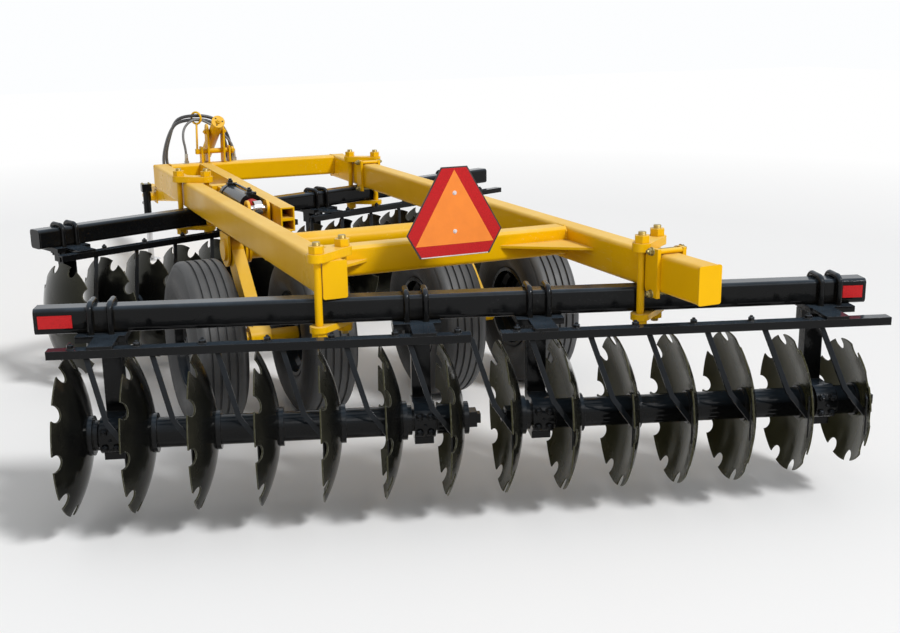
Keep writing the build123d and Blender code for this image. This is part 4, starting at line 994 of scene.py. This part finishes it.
def makeMastTrim():
    nuts, plugs = bmesh.new(), bmesh.new()
    slope = radians(mastSet["slope"])
    outward = Vector((0, -cos(slope), sin(slope)))
    cap = spot(mastSet["x"], *mastSet["cap"])
    addHexBolt(nuts, cap, outward, *mastSet["capNut"])
    pin = spot(mastSet["x"] + mastSet["pinHalf"], *mastSet["pin"])
    addHexBolt(nuts, pin, (1, 0, 0), *mastSet["pinNut"])
    for side in (-1, 1):
        base = spot(mastSet["x"] + side * mastSet["trunnionHalf"], *mastSet["trunnion"])
        addHexBolt(nuts, base, (side, 0, 0), *mastSet["trunnionNut"])
    finishPiece("mastNuts", nuts, "yellowPaint", "frame")
    outer = Matrix.Translation((mastSet["plugRing"], 0, 0))
    for index in range(mastSet["plugs"]):
        turn = Matrix.Rotation(2 * pi * index / mastSet["plugs"], 4, "Z")
        addRound(plugs, lookAlong(cap, outward) @ turn @ outer, *mastSet["plug"])
    finishPiece("screwCapPlugs", plugs, "blackPaint", "frame")


# Hose holder: boss on the mast pin, straight rod up to the ring that the hoses pass through

holderSet = {
    "base": (-0.374, 3.546, 1.092), "boss": (0.011, 0.017, 0.017), "bossRound": 0.002,
    "ring": (-0.35, 3.63, 1.306), "radius": 0.038, "facing": (-1.0, -0.85, 0.0),
    "rod": 0.007, "rodSides": 20, "wireSides": 14, "steps": 40,
}


def makeHoseHolder():
    shape = bmesh.new()
    base, ring = spot(*holderSet["base"]), spot(*holderSet["ring"])
    addBlock(shape, base, holderSet["boss"], holderSet["bossRound"])
    rise = ring - Vector((0, 0, holderSet["radius"])) - base
    addRound(shape, lookAlong(base, rise), holderSet["rod"], 0.0, rise.length, None, holderSet["rodSides"])
    place = lookAlong(ring, holderSet["facing"])
    turn = Matrix.Translation((holderSet["radius"], 0, 0)) @ Matrix.Rotation(pi / 2, 4, "X")
    made = bmesh.ops.create_circle(
        shape, segments=holderSet["wireSides"], radius=holderSet["rod"], matrix=place @ turn
    )
    bmesh.ops.spin(
        shape, geom=made["verts"] + linkedEdges(made["verts"]), cent=ring, angle=2 * pi,
        axis=place.to_3x3() @ Vector((0, 0, 1)), steps=holderSet["steps"], use_merge=True,
    )
    holder = finishPiece("hoseRing", shape, "yellowPaint", "frame")
    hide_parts("hose_holder")


makeMastTrim()
makeHoseHolder()
print("mast trimmed")


# Lift cylinder: two port blocks with nuts, and the pipe between them

portSet = {
    "x": -0.491, "top": 1.042, "ports": (1.748, 2.162), "block": (0.02, 0.02, 0.012), "blockRise": 0.004,
    "blockRound": 0.003, "nutRise": 0.016, "nut": (0.026, 0.014, 0.0, 0.0095),
    "pipe": 0.0065, "pipeX": 0.03, "pipeRise": 0.006, "pipeSides": 16, "union": 0.0085, "unionLength": 0.02,
}


def makeCylinderTrim():
    shape = bmesh.new()
    x, top = portSet["x"], portSet["top"]
    pipeX, pipeZ = x + portSet["pipeX"], top + portSet["pipeRise"]
    for y in portSet["ports"]:
        addBlock(shape, spot(x, y, top + portSet["blockRise"]), portSet["block"], portSet["blockRound"])
        addHexBolt(shape, spot(x, y, top + portSet["nutRise"]), (0, 0, 1), *portSet["nut"])
        union = lookAlong(spot(pipeX + portSet["pipe"], y, pipeZ), (-1, 0, 0))
        addRound(shape, union, portSet["union"], 0.0, portSet["unionLength"], None, 6)
    start, end = (spot(pipeX, y, pipeZ) for y in portSet["ports"])
    run = end - start
    addRound(shape, lookAlong(start, run), portSet["pipe"], 0.0, run.length, None, portSet["pipeSides"])
    finishPiece("cylinderPorts", shape, "blackPaint", "cylinder_barrel")


makeCylinderTrim()
print("cylinder ports fitted")


# Crimped ferrules on the hose ends: a hexagon and tapered bands

crimpSet = {
    "ends": (("hoseLeft", 0), ("hoseRight", 0), ("hoseShort", 0), ("hoseShort", -1)), "wall": 0.0035,
    "length": 0.034, "hex": 0.009, "bands": 3, "bandFoot": 0.94, "bandTop": 0.88,
}


def makeCrimps():
    shape = bmesh.new()
    band = (crimpSet["length"] - crimpSet["hex"]) / crimpSet["bands"]
    for name, index in crimpSet["ends"]:
        place = lookAlong(spot(*hoseSet[name]["route"][index]), (0, 0, 1))
        radius = hoseSet[name]["radius"] + crimpSet["wall"]
        addRound(shape, place, radius, 0.0, crimpSet["hex"], radius, 6)
        foot, top = radius * crimpSet["bandFoot"], radius * crimpSet["bandTop"]
        for step in range(crimpSet["bands"]):
            addRound(shape, place, foot, crimpSet["hex"] + step * band, band, top)
    finishPiece("hoseCrimps", shape, "platedSteel", "frame")


# Quick couplers: ridged sleeves and rubber dust caps

couplerSet = {
    "hoses": ("hoseLeft", "hoseRight"), "radius": 0.0176, "root": 0.97,
    "sleeve": 0.03, "ridge": 0.006, "ridges": 5,
    "length": 0.09, "cap": 0.0165, "capLength": 0.014, "capTop": 0.92, "sides": 28,
}


def makeCouplerTrim():
    sleeves, caps = bmesh.new(), bmesh.new()
    radius, sides, cap = couplerSet["radius"], couplerSet["sides"], couplerSet["cap"]
    for name in couplerSet["hoses"]:
        before, tip = (spot(*point) for point in hoseSet[name]["route"][-2:])
        place = lookAlong(tip, tip - before)
        addRidges(
            sleeves, place, radius, couplerSet["root"], couplerSet["sleeve"], couplerSet["ridge"],
            couplerSet["ridges"], sides,
        )
        capTop = cap * couplerSet["capTop"]
        addRound(caps, place, cap, couplerSet["length"], couplerSet["capLength"], capTop, sides)
    finishPiece("couplerSleeves", sleeves, "platedSteel", "frame")
    finishPiece("couplerCaps", caps, "hoseRubber", "frame")


makeCrimps()
makeCouplerTrim()
print("hose ends fitted")


# Four bolts on the parking jack's head

jackSet = {"x": -0.3985, "y": 5.56, "spread": 0.026, "bolt": (0.013, 0.006, 0.009)}


def makeJackBolts():
    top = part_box("jack_tube")[1].z
    shape = bmesh.new()
    for stepX in (-1, 1):
        for stepY in (-1, 1):
            x = jackSet["x"] + stepX * jackSet["spread"]
            y = jackSet["y"] + stepY * jackSet["spread"]
            base = spot(x, y, 0)
            base.z = top
            addHexBolt(shape, base, (0, 0, 1), *jackSet["bolt"])
    finishPiece("jackBolts", shape, "zincSteel", "jack")


makeJackBolts()
print("jack bolted")


# Weld beads where the yellow tubes meet

weldSet = {
    "radius": 0.0062, "spacing": 0.9, "swell": 0.16, "swellStep": 2.3,
    "railFace": 0.557, "low": 0.912, "high": 0.998, "top": 1.0155, "cornerGap": 0.02,
    "crossTubes": ((0.243, 0.345), (3.49, 3.592)), "sideBeads": (0.243, 0.345, 3.49),
    "mastFaces": (-0.315, -0.195), "mastRun": (3.506, 3.586), "mastLevel": 1.018,
}


def addWeld(shape, start, end):
    radius = weldSet["radius"]
    count = max(2, int((end - start).length / (radius * weldSet["spacing"])))
    for index in range(count + 1):
        swell = 1.0 + weldSet["swell"] * sin(index * weldSet["swellStep"])
        place = Matrix.Translation(start.lerp(end, index / count))
        bmesh.ops.create_icosphere(shape, subdivisions=1, radius=radius * swell, matrix=place)


def makeFrameWelds():
    shape = bmesh.new()
    for side in (-1, 1):
        x = side * weldSet["railFace"]
        for y in weldSet["sideBeads"]:
            addWeld(shape, spot(x, y, weldSet["low"]), spot(x, y, weldSet["high"]))
        for near, far in weldSet["crossTubes"]:
            near += weldSet["cornerGap"]
            far -= weldSet["cornerGap"]
            addWeld(shape, spot(x, near, weldSet["top"]), spot(x, far, weldSet["top"]))
    for x in weldSet["mastFaces"]:
        near, far = (spot(x, y, weldSet["mastLevel"]) for y in weldSet["mastRun"])
        addWeld(shape, near, far)
    finishPiece("frameWelds", shape, "yellowPaint", "frame")


makeFrameWelds()
print("welds run")


# Floor, backdrop and light

stageSet = {
    "floor": 60.0, "tone": colour(0.9, 0.9, 0.9), "floorRough": 0.9, "floorShine": 0.1, "fade": (5.5, 11.0),
    "world": 0.46, "worldTint": colour(0.98, 0.99, 1.0), "sun": 2.2, "sunTurn": (45, 30), "sunSize": 12,
    "panel": 60.0, "panelSize": (5.0, 2.2), "panelPlace": (-0.2, -4.9, 5.2), "panelAim": (0.0, -0.2, 0.4),
}


def addSeen(tree):
    path = addNode(tree, "ShaderNodeLightPath")
    seen = maths(tree, "MAXIMUM", path.outputs["Is Camera Ray"], path.outputs["Is Glossy Ray"])
    return maths(tree, "MAXIMUM", seen, path.outputs["Is Transmission Ray"])


def makeFloor():
    shape = bmesh.new()
    bmesh.ops.create_grid(shape, x_segments=2, y_segments=2, size=stageSet["floor"] / 2)
    mesh = bpy.data.meshes.new("floor")
    shape.to_mesh(mesh)
    shape.free()
    material, tree, shader = startMaterial("paleFloor")
    shader.inputs["Base Color"].default_value = stageSet["tone"]
    shader.inputs["Roughness"].default_value = stageSet["floorRough"]
    shader.inputs["Specular IOR Level"].default_value = stageSet["floorShine"]
    far = ramp(tree, vectorMaths(tree, "LENGTH", coords(tree)), *stageSet["fade"])
    glow = addNode(tree, "ShaderNodeEmission")
    join = addNode(tree, "ShaderNodeMixShader")
    tree.links.new(product(tree, far, addSeen(tree)), join.inputs[0])
    tree.links.new(shader.outputs[0], join.inputs[1])
    tree.links.new(glow.outputs[0], join.inputs[2])
    tree.links.new(join.outputs[0], tree.nodes["Material Output"].inputs["Surface"])
    mesh.materials.append(material)
    addObject("floor", mesh)


def makeWorld():
    world = bpy.data.worlds.new("studio")
    scene.world = world
    world.use_nodes = True
    tree = world.node_tree
    back = tree.nodes["Background"]
    back.inputs["Color"].default_value = stageSet["worldTint"]
    tree.links.new(ramp(tree, addSeen(tree), 0.0, 1.0, stageSet["world"], 1.0), back.inputs["Strength"])


def makeLights():
    sunData = bpy.data.lights.new("softSun", "SUN")
    sunData.energy = stageSet["sun"]
    sunData.angle = radians(stageSet["sunSize"])
    tilt, turn = stageSet["sunTurn"]
    addObject("softSun", sunData).rotation_euler = (radians(tilt), 0, radians(turn))
    panelData = bpy.data.lights.new("softPanel", "AREA")
    panelData.energy = stageSet["panel"]
    panelData.shape = "RECTANGLE"
    panelData.size, panelData.size_y = stageSet["panelSize"]
    panel = addObject("softPanel", panelData)
    panel.location = spot(*stageSet["panelPlace"])
    aim = spot(*stageSet["panelAim"]) - panel.location
    panel.rotation_euler = aim.to_track_quat("-Z", "Y").to_euler()


makeFloor()
makeWorld()
makeLights()
print("stage lit")
